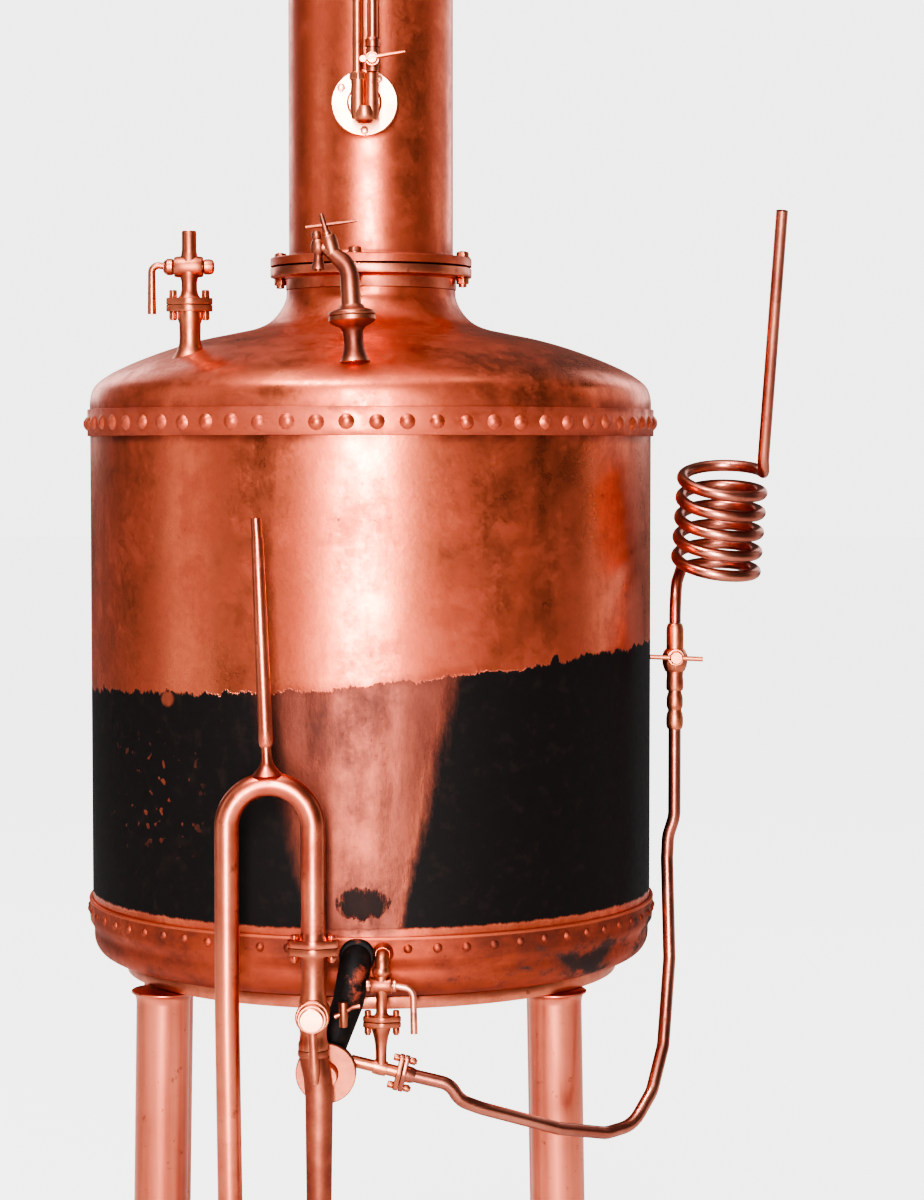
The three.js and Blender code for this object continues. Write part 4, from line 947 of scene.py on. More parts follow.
# %% Legs and feet
LEAN = math.radians(1)
LEGS = {
    "front_left": (-196, -140), "front_right": (179.5, -140), "rear_left": (-214, 95),
    "rear_right": (183, 125),
}
for name, (x, y) in LEGS.items():
    way = Vector((-math.copysign(math.sin(LEAN), x), 0, math.cos(LEAN)))
    leg = Bench().turned(
        [(0, 0), (29, 0), (30.4, -1), (30.4, -2.4), (27.6, -4.2), (26.2, -7), (25.5, -12), (25.5, -445.2),
         (22.5, -445.2), (22.5, -20), (0, -20)], at(x, y, 454.2), way, steps=72,
    )
    finish_piece(f"leg_tube_{name}", leg, leg_metal, "bronze", f"leg_{name}", angle=45)
    low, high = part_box(f"foot_{name}")
    middle = Vector(((low.x + high.x) / 2, (low.y + high.y) / 2, 0))
    shoe = Bench().turned(
        [(0, 0), (43, 0), (44, 1), (44, 6), (42.5, 7.2), (36, 9), (33.6, 13), (31.6, 33), (31, 34),
         (27.1, 34), (27.1, 8), (0, 8)], middle, steps=72,
    )
    finish_piece(f"iron_shoe_{name}", shoe, foot_iron, "iron", f"foot_{name}", angle=40)

# %% [markdown]
# ## The inverted-U trap and its vent
# The waste pipe rises to a crown before it falls, so vapour can't pass, and a thin vent on the
# crown keeps it from siphoning dry. The pipe is drawn round one route, and the vent stands on
# a wiped solder cone.

# %% Trap pipe
TRAP_Y = -340
LEFT_X, RIGHT_X = -118.6, -42
TRAP_MIDDLE = (LEFT_X + RIGHT_X) / 2
TRAP_BEND = (RIGHT_X - LEFT_X) / 2
TRAP_TOP = 675
trap_route = [at(LEFT_X + 5, TRAP_Y, 58), at(LEFT_X + 2, TRAP_Y, 300), at(LEFT_X, TRAP_Y, 470)]
for k in range(33):
    turn = math.pi * (1 - k / 32)
    x = TRAP_MIDDLE + TRAP_BEND * math.cos(turn)
    trap_route.append(at(x, TRAP_Y, TRAP_TOP + TRAP_BEND * (math.sin(turn) - 1)))
trap_route.append(at(RIGHT_X, TRAP_Y, 534))
trap = Bench().pipe(trap_route, 11, sides=32, mouths=("start",), wall=2, depth=16)


# an oval joint: spread of its bolts, radius of its hub and tips, thickness of each half
TRAP_OVAL = (16.5, 13.5, 6.4, 7)


def oval_half(bench, origin, along, across, oval, upper):
    """One half of an oval joint, above or below its parting face."""
    spread, hub, tip, thick = oval
    low, high = (0.15, thick) if upper else (-thick, -0.15)
    return bench.lozenge(origin, along, across, spread, hub, tip, low, high)


def joint_bolts(bench, origin, along, across, oval, shank, head, height, tip=1.6):
    """The two bolts of an oval joint, heads up and nuts below."""
    spread, thick = oval[0], oval[3]
    for side in (-1, 1):
        foot = origin + across * side * spread / 1000
        up = along / 1000
        bench.rod(
            foot - up * (thick + 0.3 + height + tip), foot + up * (thick + height * 0.6), shank,
            sides=16, ease=0.3,
        )
        bench.rod(
            foot + up * thick, foot + up * (thick + height), head, head * 0.94, sides=6, ease=0.6,
            across=across,
        )
        bench.rod(
            foot - up * (thick + 0.3 + height), foot - up * (thick + 0.3), head, sides=6, ease=0.6,
            across=across,
        )
    return bench


TRAP_JOINT = at(RIGHT_X, TRAP_Y, 529)
oval_half(trap, TRAP_JOINT, UP, RIGHT, TRAP_OVAL, True)
joint_bolts(trap, TRAP_JOINT, UP, RIGHT, TRAP_OVAL, 2.6, 4.4, 4.4)
trap.turned([(0, 6.6), (13, 6.6), (11.8, 9.5), (11, 13.5), (0, 13.5)], TRAP_JOINT, UP, steps=40)
finish_piece("trap_pipe_drawn", trap, pipe_copper, "copper", "trap_pipe")

# %% [markdown]
# ### The vent
# The vent tapers upwards and ends in a thin spigot with an open mouth. The wiped solder cone at
# its foot is turned, and the tapering tube is drawn with a falling row of radii.

# %% Vent tube
crown = at(TRAP_MIDDLE - 2, TRAP_Y, 683)
shoulder = at(-90.4, TRAP_Y, 893)
tip = at(-91.6, TRAP_Y, 911)
rise = (shoulder - crown).normalized()
vent = Bench().turned(
    [
        (0, 0), (14, 0), (11, 3.5), (8, 7), (5.8, 11), (4.7, 16), (4.6, 25), (5.6, 26.2), (6.5, 29),
        (6.5, 40), (0, 40),
    ],
    crown, rise, steps=36,
)
vent.pipe([crown + rise * 0.038, shoulder], [6.5, 6.2, 5.8, 5.5, 5.3], sides=28)
vent.pipe([shoulder - rise * 0.004, tip], 4.6, sides=24, mouths=("end",), wall=1.2, depth=16)
finish_piece("vent_tube_open", vent, pipe_copper, "copper", "vent_tube")

# %% [markdown]
# ## Main drain cock
# A taper plug in a cast body, turned by a hanging lever. The lever's eye and the round cap
# face the front, and both are worn bright. The body is one piece, and the plug and lever are
# two, because they turn.

# %% Main cock body
MAIN_PLUG = at(RIGHT_X, TRAP_Y, 469.5)
body = oval_half(Bench(), TRAP_JOINT, UP, RIGHT, TRAP_OVAL, False)
body.turned(
    [(0, 523), (12.6, 523), (11, 519), (10.4, 512), (10.4, 493), (11.4, 486), (12.6, 480), (12.6, 458),
     (11.8, 452), (12.4, 446), (13.4, 443), (13.4, 438), (0, 438)], at(RIGHT_X, TRAP_Y, 0), UP, steps=48,
)
body.turned(
    [(8.9, -17), (13, -17), (14.3, -15.6), (14.3, -11), (13.4, -9.5), (13.4, 10), (15, 12.5), (15.2, 17.5),
     (14, 19), (8.9, 19)], MAIN_PLUG, FRONT, steps=56,
)
finish_piece("main_cock_casting", body, cock_metal, "brass", "main_cock_body", angle=40)

# %% [markdown]
# ### Main plug and lever
# The plug passes right through the body, with a round cap in front and a six-sided nut behind.
# The lever is a collar on it with a bar that hangs down, thin at its root and thick where the
# hand takes it.

# %% Main cock plug and lever
plug = Bench().turned(
    [(0, -23.3), (8.6, -23.3), (8.6, 30), (10.2, 30), (10.9, 30.8), (10.9, 33.0), (9.8, 33.8), (0, 33.95)],
    MAIN_PLUG, FRONT, steps=56,
)
plug.rod(MAIN_PLUG - FRONT * 0.0233, MAIN_PLUG - FRONT * 0.0173, 12.5, sides=6, ease=0.8)
finish_piece("main_cock_cap", plug, bright_metal, "brass", "main_cock_plug", body="main_drain_plug")

lever = Bench().turned(
    [(8.9, 19.3), (12.4, 19.3), (13.2, 20.3), (13.2, 26.6), (12.2, 28), (8.9, 28)], MAIN_PLUG, FRONT,
    steps=48,
)
hang = Vector((0.05, 0, -1)).normalized()
arm = [MAIN_PLUG + FRONT * 0.0237 + hang * d / 1000 for d in (9, 14, 30, 46, 55, 58.2)]
lever.pipe(arm, [3.9, 3.4, 3.7, 4.5, 4.3, 2.6], sides=20)
finish_piece("main_cock_handle", lever, cock_metal, "brass", "main_cock_lever", body="main_drain_plug")

# %% [markdown]
# ## Pan outlet and drain pipe
# A short, wide elbow leaves the front of the pan, turns down and ends in a round flange that
# faces the front. The drain pipe passes in front of it and joins it through the second disc.

# %% Pan outlet
DISC_Z, DISC_R = 412, 27.2
DISC = at(-31.8, -317, DISC_Z)
outlet_corners = [
    at(-5, -282.6, 511), at(-5.4, -292, 511), at(-13, -290.4, 470), at(-28.6, -290, 428),
    at(-31.8, -306, DISC_Z),
]
outlet_route = bends([at(-5, -240, 511)] + outlet_corners[1:], 20, steps=10)[1:]
outlet = Bench().pipe(
    [outlet_corners[0]] + outlet_route, [14.0, 14.4, 14.3, 14.0, 13.6, 13.2, 13.0], sides=36,
)
outlet.turned(
    [(0, -6), (26.4, -6), (DISC_R, -5.2), (DISC_R, -0.9), (26.6, -0.15), (0, -0.15)], DISC, FRONT,
    steps=72,
)
outlet.turned([(0, -16), (13.4, -16), (14.5, -11), (18, -7), (20, -5.9), (0, -5.9)], DISC, FRONT, steps=48)
outlet.turned([(0, 0), (16.4, 0), (16, 1.4), (14.4, 3), (0, 3)], at(-5, -282.4, 511), FRONT, steps=48)
finish_piece("outlet_elbow", outlet, outlet_copper, "sooted_copper", "pan_outlet")

# %% [markdown]
# ### The drain pipe
# Below the cock the pipe swells, steps back round the disc and falls straight to an open end.
# It is one drawn pipe with changing radii, and the second disc and its neck are turned on to
# it.

# %% Drain pipe
drain_corners = [
    at(RIGHT_X, TRAP_Y, 437.4), at(RIGHT_X, TRAP_Y, 430), at(-38.2, TRAP_Y - 5, 416),
    at(-36.6, TRAP_Y - 6, 396), at(-36.8, TRAP_Y - 6, 350), at(-37, TRAP_Y - 6, 200),
    at(-37, TRAP_Y - 6, 56),
]
drain = Bench().pipe(
    bends(drain_corners, 30, steps=2), [12.6, 12.2, 11, 10, 9.9, 9.8, 9.8], sides=36, mouths=("end",),
    wall=2.4, depth=16,
)
drain.turned(
    [(0, 437.4), (13.4, 437.4), (13.8, 436.4), (13.8, 432.6), (12.8, 431), (0, 431)],
    at(RIGHT_X, TRAP_Y, 0), UP, steps=48,
)
drain.turned(
    [(0, 0.15), (26.6, 0.15), (DISC_R, 0.9), (DISC_R, 5.2), (26.4, 6), (0, 6)], DISC, FRONT, steps=72,
)
drain.turned([(0, 5.9), (11.6, 5.9), (10.6, 8), (10.2, 12), (10, 21), (0, 21)], DISC, FRONT, steps=40)
finish_piece("drain_pipe_drawn", drain, drain_metal, "brass", "drain_pipe")

# %% [markdown]
# ### The air screw
# A small screw lets air in behind the liquid. Its stem, barrel and bent wing are separate short
# bars, because on the real one they are brazed together.

# %% Air screw
screw = Bench()
screw.rod(at(-16, -296, 461), at(-16, -318, 461), 4.6, 4.0)
screw.rod(at(-16, -318, 453), at(-16, -318, 476), 3.8, 4.4, ease=0.9)
screw.pipe(bends([at(-16, -318, 466), at(-8, -319, 471.5), at(-1, -319, 472.4)], 8), [1.9, 2.1], sides=16)
screw.pipe([at(-16, -318, 466), at(-24, -318, 462.6)], [2.2, 2.6], sides=16)
finish_piece("air_screw", screw, dark_metal, "brass", "outlet_air_screw")

# %% [markdown]
# ## Small drain cock and the gauge branch
# A slender cock hangs from the pan's seam. Its plug lies across, with a crank handle. Below
# its oval joint a reducer drops to a tee on the gauge pipe, and a second oval joint lets that
# pipe be taken off. The four bolts show as short bars.

# %% Small cock body
SX, SY = 17.5, -302
SMALL_OVAL = (12.8, 8.8, 4.4, 5)
small_joint = at(18.2, SY, 455)
small_plug = at(SX, SY, 488)
small = Bench().pipe(
    bends([at(SX + 1, -279, 514), at(SX + 1, SY, 514), at(SX, SY, 490)], 13, steps=8), 6.2, sides=28,
)
small.turned(
    [(0, 0), (9.6, 0), (9.6, 3), (8, 6), (6.6, 9), (0, 9)], at(SX + 1, -281.9, 514), FRONT, steps=40,
)
small.turned([(0, 11), (7.4, 11), (8.2, 9), (8.2, 6), (6.8, 4), (0, 4)], at(SX, SY, 493), UP, steps=40)
small.turned(
    [(4.8, -10), (7.4, -10), (8, -9), (7.2, -7), (7.4, 0), (7.2, 7), (8, 9), (7.4, 10), (4.8, 10)],
    small_plug, RIGHT, steps=40,
)
small.turned(
    [(0, 484), (6.4, 484), (5.2, 479), (4.9, 470), (5.2, 463), (7.4, 459.8), (0, 459.8)],
    at(SX + 0.4, SY, 0), UP, steps=36,
)
oval_half(small, small_joint, UP, RIGHT, SMALL_OVAL, True)
joint_bolts(small, small_joint, UP, RIGHT, SMALL_OVAL, 2.2, 3.6, 5.4, tip=1.4)
finish_piece("small_cock_casting", small, cock_metal, "brass", "small_cock_body", angle=40)

# %% [markdown]
# ### Small plug and crank
# The plug is a turned bar with a nut at one end. The crank leaves the other end, bends through
# a right angle and hangs, so it is a pipe with one rounded corner.

# %% Small cock plug and crank
crank = Bench().turned([(0, -13.7), (4.3, -13.7), (4.3, 13), (0, 13)], small_plug, RIGHT, steps=28)
crank.rod(small_plug - RIGHT * 0.0137, small_plug - RIGHT * 0.0103, 5.6, sides=6, ease=0.5)
crank.turned(
    [(0, 10.3), (5.6, 10.3), (6, 11), (6, 12.6), (4.6, 13.6), (0, 13.6)], small_plug, RIGHT, steps=32,
)
crank_route = bends([at(SX + 11, SY, 488), at(46.3, SY, 484.8), at(47.2, SY, 444)], 9, steps=8)
crank.pipe(crank_route, [3.0, 3.0, 3.3], sides=20)
finish_piece("small_cock_crank", crank, bright_metal, "brass", "small_cock_plug", body="small_drain_plug")

# %% [markdown]
# ### The gauge branch
# A reducer hangs under the small cock and ends on a sloping pipe. Turned cones make the
# reducer, a drawn pipe the slope, and an oval half-flange closes each end.

# %% Gauge branch
slope = Vector((69.7, 0, -17.2)).normalized()
GAUGE_OVAL = (12.8, 8.2, 4.2, 4.6)
gauge_joint = at(35.7, -300, 408)
branch = oval_half(Bench(), small_joint, UP, RIGHT, SMALL_OVAL, False)
branch.turned(
    [(0, 451), (9.2, 451), (8.6, 448), (6.6, 441), (5.4, 434), (4.9, 426), (4.9, 410), (0, 410)],
    at(17.3, -301, 0), UP, steps=36,
)
branch.pipe([gauge_joint - slope * 0.047, gauge_joint - slope * 0.003], 5.4, sides=28)
branch.turned([(0, -7), (6.6, -6), (7, 0), (6.6, 6), (0, 7)], at(16.3, -300, 412.8), slope, steps=32)
up_slope = (UP - slope * UP.dot(slope)).normalized()
oval_half(branch, gauge_joint, -slope, up_slope, GAUGE_OVAL, True)
joint_bolts(branch, gauge_joint, -slope, up_slope, GAUGE_OVAL, 2.2, 3.6, 5.4, tip=1.2)
finish_piece("gauge_tee", branch, cock_metal, "brass", "branch_tee", angle=40)

# %% [markdown]
# ## The gauge pipe, riser and coil
# The thin pipe dips under the pot, passes the right leg and climbs beside the drum through a
# union and a tommy-bar cock. Then it turns five and a half times, winding left-handed, and
# ends as an open tube.

# %% Gauge pipe
RX, RY = 296.5, -100
feed = bends(
    [
        gauge_joint + slope * 0.003, at(80, -298, 397), at(88, -296, 382), at(108, -291, 373.5),
        at(180, -245, 344), at(226, -208, 331), at(252, -188, 334), at(271, -170, 362),
        at(283, -150, 402), at(291, -118, 480), at(289.5, RY, 575), at(290.5, RY, 597),
        at(RX, RY, 616), at(RX, RY, 701),
    ],
    34, steps=5,
)
gauge = oval_half(Bench().pipe(feed, 6, sides=22), gauge_joint, -slope, up_slope, GAUGE_OVAL, False)
gauge.turned([(0, 0), (7.6, 0), (7.2, 5), (6.2, 8), (0, 8)], gauge_joint + slope * 0.0045, slope, steps=28)
finish_piece("gauge_pipe_drawn", gauge, gauge_copper, "copper", "gauge_pipe")

# %% [markdown]
# ### Union and riser cock
# Two short nuts join the riser, and above them sits a small cock with an eight-sided body.
# Turning the body with only eight steps gives those flats, and the rest is round.

# %% Union nuts and riser cock body
union = Bench().turned(
    [
        (0, 701.3), (6.7, 701.3), (7.6, 703), (8.2, 706), (8.2, 712), (7.4, 716.5), (6.5, 718.5),
        (6.5, 720.5), (7.6, 722.5), (7.9, 725), (7.9, 731), (7.3, 734), (6.4, 736.5), (6.4, 738.7),
        (0, 738.7),
    ],
    at(RX, RY, 0), steps=36,
)
finish_piece("riser_union_nuts", union, cock_metal, "brass", "riser_union", angle=50)

RISER_PLUG = at(RX, RY, 771.5)
riser = Bench().turned(
    [(0, 739), (7.7, 739), (8.3, 741), (8.3, 748), (7.8, 752), (8.2, 757), (8.3, 785), (8.3, 798),
     (7.6, 801.5), (6.5, 803.6), (0, 803.6)], at(RX, RY, 0), steps=36,
)
riser.turned(
    [(0, 757), (9.4, 757), (11.6, 762.5), (12.3, 766.5), (12.3, 773), (10.6, 777), (8.4, 779.5), (0, 779.5)],
    at(RX, RY, 0), steps=8, ease=0.7,
)
riser.turned(
    [(4.9, -13.5), (7.6, -13.5), (8, -12.5), (8, 12.5), (7.6, 13.5), (4.9, 13.5)], RISER_PLUG, FRONT,
    steps=36,
)
finish_piece("riser_cock_casting", riser, cock_metal, "brass", "riser_cock_body", angle=40)

# %% [markdown]
# ### Riser plug and bar
# The plug has a round head in front and a nut behind. A loose-looking bar runs through the
# head, which is why it tapers slightly at its two tips.

# %% Riser plug and tommy bar
bar = Bench().turned(
    [(0, -17), (4.5, -17), (4.5, 14), (6, 14), (6.4, 15), (6.4, 21.5), (5.4, 22.8), (0, 22.8)],
    RISER_PLUG, FRONT, steps=32,
)
bar.rod(RISER_PLUG - FRONT * 0.017, RISER_PLUG - FRONT * 0.0138, 5.6, sides=6, ease=0.5)
bar_mid = RISER_PLUG + FRONT * 0.0186
bar.pipe(
    [
        bar_mid + Vector((-0.025, 0, 0.0009)), bar_mid + Vector((-0.0245, 0, 0.0009)),
        bar_mid + Vector((0.025, 0, -0.0013)), bar_mid + Vector((0.0255, 0, -0.0013)),
    ],
    [2.3, 2.7, 2.7, 2.3], sides=18,
)
finish_piece("riser_tommy_bar", bar, cock_metal, "brass", "riser_cock_plug", body="riser_plug")

# %% [markdown]
# ### The coil
# The coil is the pipe itself wound round a former, so it is one drawn pipe from the riser to
# its open end. The helix is worked out point by point on a tilted axis, and short lead-in and
# lead-out points join it to the straight runs without a kink.

# %% Coil and open tube
TURNS, COIL_R, PITCH, FACETS = 5.5, 38.4, 19.7, 40
axis_way = Vector(
    (math.sin(math.radians(3)), -math.sin(math.radians(14)), math.cos(math.radians(14)))
).normalized()
coil_stance = stance(at(338.6, -100, 899), axis_way)
steps = round(TURNS * FACETS)
coil_route = []
for k in range(steps + 1):
    turn = math.pi - k / FACETS * math.tau
    height = (k / steps - 0.5) * TURNS * PITCH
    coil_route.append(
        coil_stance @ (Vector((COIL_R * math.cos(turn), COIL_R * math.sin(turn), height)) / 1000)
    )
lead_in = [
    at(RX, RY, 804), at(RX, RY + 0.3, 811), at(RX + 0.3, RY + 1.6, 819),
    at(RX + 0.9, RY + 4.8, 828.5), at(RX + 1.8, RY + 10.5, 837), at(RX + 3.0, RY + 18, 842.8),
]
last = coil_route[-1]
tube_way = Vector((0.043, -0.2419, 0.969)).normalized()
elbow = last + Vector((-0.0015, -0.009, 0.004))
lead_out = [
    last + Vector((-0.0001, -0.004, 0.0010)),
    last + Vector((-0.0007, -0.0076, 0.0034)) + tube_way * 0.0022, elbow + tube_way * 0.008,
    elbow + tube_way * 0.015, elbow + tube_way * 0.13, elbow + tube_way * 0.248,
]
coil = Bench().pipe(lead_in + coil_route[4:] + lead_out, 5.6, sides=20, mouths=("end",), wall=1.5, depth=14)
finish_piece("gauge_coil_wound", coil, gauge_copper, "copper", "gauge_coil")
print("coil turns", TURNS, "pitch", PITCH, "mm")

# %% [markdown]
# ## Charging cock on the lid
# A stub and an oval joint carry a small cock with an open mouth. Its plug lies across and ends
# in a crank handle that hangs down on the left.

# %% Lid cock neck
LX, LY = -168.4, -135
LID_OVAL = (15.4, 13.4, 6.6, 6.4)
lid_joint = at(LX, LY, 1108.8)
lid_plug = at(LX, LY, 1144.5)
stub = oval_half(Bench(), lid_joint, UP, RIGHT, LID_OVAL, False)
stub.turned(
    [
        (0, 1103), (11.4, 1103), (11.6, 1095), (10.2, 1091), (10, 1078), (10.4, 1072), (12.4, 1065),
        (16.5, 1059), (20, 1056), (0, 1052),
    ],
    at(LX + 0.5, LY, 0), steps=48,
)
finish_piece("lid_cock_neck", stub, cock_metal, "brass", "lid_cock_stub", angle=40)

# %% [markdown]
# ### Lid cock body
# The body is a turned column, thin at its open mouth, with a barrel across it for the plug. Two
# bolts hold its half of the oval joint to the half below.

# %% Lid cock body
lid_cock = oval_half(Bench(), lid_joint, UP, RIGHT, LID_OVAL, True)
joint_bolts(lid_cock, lid_joint, UP, RIGHT, LID_OVAL, 2.8, 4.2, 7.4, tip=0.6)
lid_cock.turned(
    [
        (0, 1115), (11, 1115), (8.6, 1118), (7.4, 1123), (7.3, 1130), (8.6, 1135), (9.4, 1140),
        (9.4, 1150), (7.6, 1156), (6.9, 1160), (6.9, 1177.6), (6.4, 1178.5), (4.7, 1178.5),
        (4.7, 1160), (0, 1160),
    ],
    at(LX, LY, 0), steps=48,
)
lid_cock.turned(
    [(5.8, -13), (9, -13), (9.6, -12), (10.4, -6), (10.6, 0), (10.4, 6), (9.6, 12.6), (9, 14), (5.8, 14)],
    lid_plug, -RIGHT, steps=48,
)
finish_piece("lid_cock_casting", lid_cock, cock_metal, "brass", "lid_cock_body", angle=40)

# %% [markdown]
# ### Lid cock crank
# The plug shows as a round cap at each side of the barrel. The handle leaves the left cap,
# bends down and thickens to its tip.

# %% Lid cock plug and crank
handle = Bench().turned([(0, -23), (5.3, -23), (5.3, 24), (0, 24)], lid_plug, -RIGHT, steps=28)
handle.turned(
    [(0, -13.3), (6, -13.3), (7.2, -15), (7.4, -19), (6.4, -22.4), (4, -23.6), (0, -24)], lid_plug,
    -RIGHT, steps=36,
)
handle.turned(
    [(0, 14.3), (6.4, 14.3), (7.8, 16), (7.8, 20.5), (6.2, 23), (4.4, 24.4), (0, 24.4)], lid_plug,
    -RIGHT, steps=36,
)
handle_route = bends(
    [at(LX - 20, LY, 1144.5), at(LX - 35.6, LY, 1147), at(LX - 35.6, LY, 1100)], 11, steps=10,
)
handle.pipe(handle_route, [2.9, 3.5, 3.7, 4.1], sides=22)
finish_piece("lid_cock_crank", handle, cock_metal, "brass", "lid_cock_plug", body="lid_plug")

# %% [markdown]
# ## Gooseneck cock
# The front cock of the lid bends over to the left and pours down through a small nozzle. Its
# plug stands nearly upright, with a thin cross lever.

# %% Gooseneck foot
GX, GY = -10, -240
goose_way = Vector((-0.06, 0.06, 1)).normalized()
goose_joint = at(GX, GY, 1093.5)
goose_stub = Bench().turned(
    [
        (0, -0.15), (20.8, -0.15), (21.6, -1), (21.6, -4.4), (19.5, -6.6), (11.5, -10.5), (9.2, -14),
        (8.8, -24), (9.6, -31), (11.6, -37), (14.2, -42), (0, -50),
    ],
    goose_joint, goose_way, steps=48,
)
finish_piece("gooseneck_foot", goose_stub, dark_metal, "brass", "gooseneck_stub", angle=40)

# %% [markdown]
# ### Gooseneck body
# A flange, a tapering bent pipe, a nozzle and a barrel for the plug are cast in one. Each is
# made with the tool that suits it, and they overlap inside the casting.

# %% Gooseneck body
goose_plug = at(-30, GY + 5, 1158)
goose_axis = Vector((-9.4, 0, 32)).normalized()
nozzle = at(-41, GY + 5, 0)
goose = Bench().turned(
    [(0, 0.15), (21, 0.15), (21.6, 1), (21.6, 3), (20.4, 4.2), (12.5, 6.6), (10.5, 10), (0, 10)],
    goose_joint, goose_way, steps=48,
)
goose_route = bends(
    [goose_joint, goose_joint + goose_way * 0.036, at(-15, GY + 3, 1140), at(-33, GY + 5, 1155)], 22,
    steps=8,
)
goose.pipe(goose_route, [9.4, 9.0, 8.8, 8.0, 6.2], sides=32)
goose.rod(at(-25, GY + 5, 1157), at(-43, GY + 5, 1155.4), 5.8, ease=1.2)
goose.turned(
    [
        (0, 1134.8), (3.3, 1134.8), (3.3, 1136), (6.2, 1136), (6.5, 1137.4), (5.4, 1141), (4, 1147),
        (4.2, 1150), (6.4, 1152), (6.9, 1156), (6.4, 1161), (4.6, 1163.4), (0, 1164),
    ],
    nozzle, steps=36,
)
goose.turned(
    [(0, 1163), (3, 1163), (4.4, 1165.6), (4.6, 1168), (3.6, 1170.6), (0, 1171.4)],
    at(-42.6, GY + 5, 0), steps=28,
)
goose.turned(
    [(4.1, -9), (7.4, -9), (7.9, 0), (7.4, 8), (6.6, 9), (4.1, 9)], goose_plug, goose_axis, steps=32,
)
finish_piece("gooseneck_casting", goose, dark_metal, "brass", "gooseneck_body", angle=45)

# %% [markdown]
# ### Gooseneck key
# The plug tapers to a slim stem, and a thin rod is driven through it as a lever. The rod is
# laid out in the plug's own axes, so it stays square to the stem.

# %% Gooseneck plug and lever
goose_key = Bench().turned(
    [(0, -4.7), (3.6, -4.7), (3.4, 12), (2.8, 20), (2.4, 27), (1.8, 30), (0, 30.4)], goose_plug,
    goose_axis, steps=24,
)
goose_key.turned([(0, 9.3), (4.4, 9.3), (4.7, 10.4), (4, 12.8), (0, 13)], goose_plug, goose_axis, steps=28)
goose_stance = stance(goose_plug, goose_axis)
lever_points = [
    goose_stance @ (Vector(p) / 1000)
    for p in ((-17, 0, 22), (-16, 0, 21.8), (0, 0, 19.2), (29, 0, 14.7), (30, 0, 14.4))
]
goose_key.pipe(lever_points, [1.5, 1.9, 2.2, 1.6, 1.2], sides=16)
finish_piece("gooseneck_key", goose_key, dark_metal, "brass", "gooseneck_plug", body="gooseneck_plug")

# %% [markdown]
# ## Fitting on the column
# A polished disc seals the boss on the column. The tee in front of it carries a thin open
# tube and, through a small cock, the return pipe to the head.

# %% Column boss
BOSS = at(-3.2, -95.5, 1304)
boss = Bench().turned([(0, -18), (25, -18), (26, -16.5), (26, -6.2), (0, -6.2)], BOSS, FRONT, steps=64)
boss.turned([(0, -6.4), (31.2, -6.4), (32, -5.6), (32, -1), (31, 0), (0, 0)], BOSS, FRONT, steps=80)
boss.turned([(0, 0), (17, 0), (15.4, 1.6), (14.8, 5), (0, 5)], BOSS, FRONT, steps=48)
for turn, tilt in ((147, 0.3), (59, 0.9), (270, 0.1)):
    way = Vector((math.cos(math.radians(turn)), 0, math.sin(math.radians(turn)))) * 0.0265
    boss.rod(
        BOSS + way, BOSS + way + FRONT * 0.0036, 4.2, sides=6, ease=0.6,
        across=Vector((math.cos(tilt), 0, math.sin(tilt))),
    )
    boss.turned([(0, 3.4), (2.4, 3.4), (2.2, 5), (0, 5.4)], BOSS + way, FRONT, steps=20)
finish_piece("boss_disc", boss, bright_metal, "brass", "column_boss", angle=40)

# %% [markdown]
# ### The tee
# Two upright lobes stand side by side on a short arm. The left carries the thin open tube and
# the right takes the cock, so each is turned on its own axis.

# %% Column tee
TEE_Y = -125
tee = Bench().rod(at(-2, -100.9, 1297), at(-2, TEE_Y, 1297), 9.8, ease=1)
tee.turned(
    [(0, 1284), (6, 1285), (7.2, 1290), (7.4, 1296), (7.2, 1312), (6.6, 1318), (7.2, 1322), (0, 1322)],
    at(-8, TEE_Y, 0), steps=40,
)
tee.turned(
    [(0, 1283), (5.6, 1284.5), (6.7, 1290), (6.8, 1300), (6.2, 1318), (6.6, 1327), (6, 1329), (0, 1329)],
    at(4.2, TEE_Y, 0), steps=40,
)
tee.turned(
    [(0, 1280.6), (6, 1281.4), (9.4, 1284.6), (10.6, 1290), (9, 1297), (0, 1300)], at(-2, TEE_Y, 0),
    steps=44,
)
tee.rod(at(-8, TEE_Y, 1322), at(-8, TEE_Y, 1328.9), 8.6, sides=8, ease=0.6)
tee.pipe(
    [at(-8.8, TEE_Y, 1328), at(-8.8, TEE_Y, 1392), at(-8.8, TEE_Y, 1456)], 4.7, sides=24,
    mouths=("end",), wall=1.3, depth=14,
)
finish_piece("column_tee_casting", tee, cock_metal, "brass", "column_tee", angle=40)

# %% [markdown]
# ### Column cock
# The smallest cock has a plain round body, a turned plug and a long thin lever with a boss at
# its end. The lever lies to the right when the way is open.

# %% Column cock
CX, CY = 5.6, -130
column_plug = at(CX, CY, 1340)
cock = Bench().turned(
    [(0, 1329.3), (5.8, 1329.3), (6.2, 1331), (6.4, 1340), (6.2, 1349), (5.8, 1351.9), (0, 1351.9)],
    at(CX, CY, 0), steps=36,
)
cock.turned(
    [(4.2, -10), (6.4, -10), (6.8, -9), (6.8, 10), (6.4, 11), (4.2, 11)], column_plug, FRONT,
    steps=36,
)
finish_piece("column_cock_casting", cock, dark_metal, "brass", "column_cock_body", angle=40)
key = Bench().turned(
    [(0, -13.3), (3.7, -13.3), (3.7, 11.3), (4.8, 11.3), (5.2, 12), (5.2, 14.6), (4.2, 15.8), (0, 16)],
    column_plug, FRONT, steps=32,
)
key.rod(column_plug - FRONT * 0.0133, column_plug - FRONT * 0.0103, 5, sides=6, ease=0.5)
key_stance = stance(column_plug, FRONT)
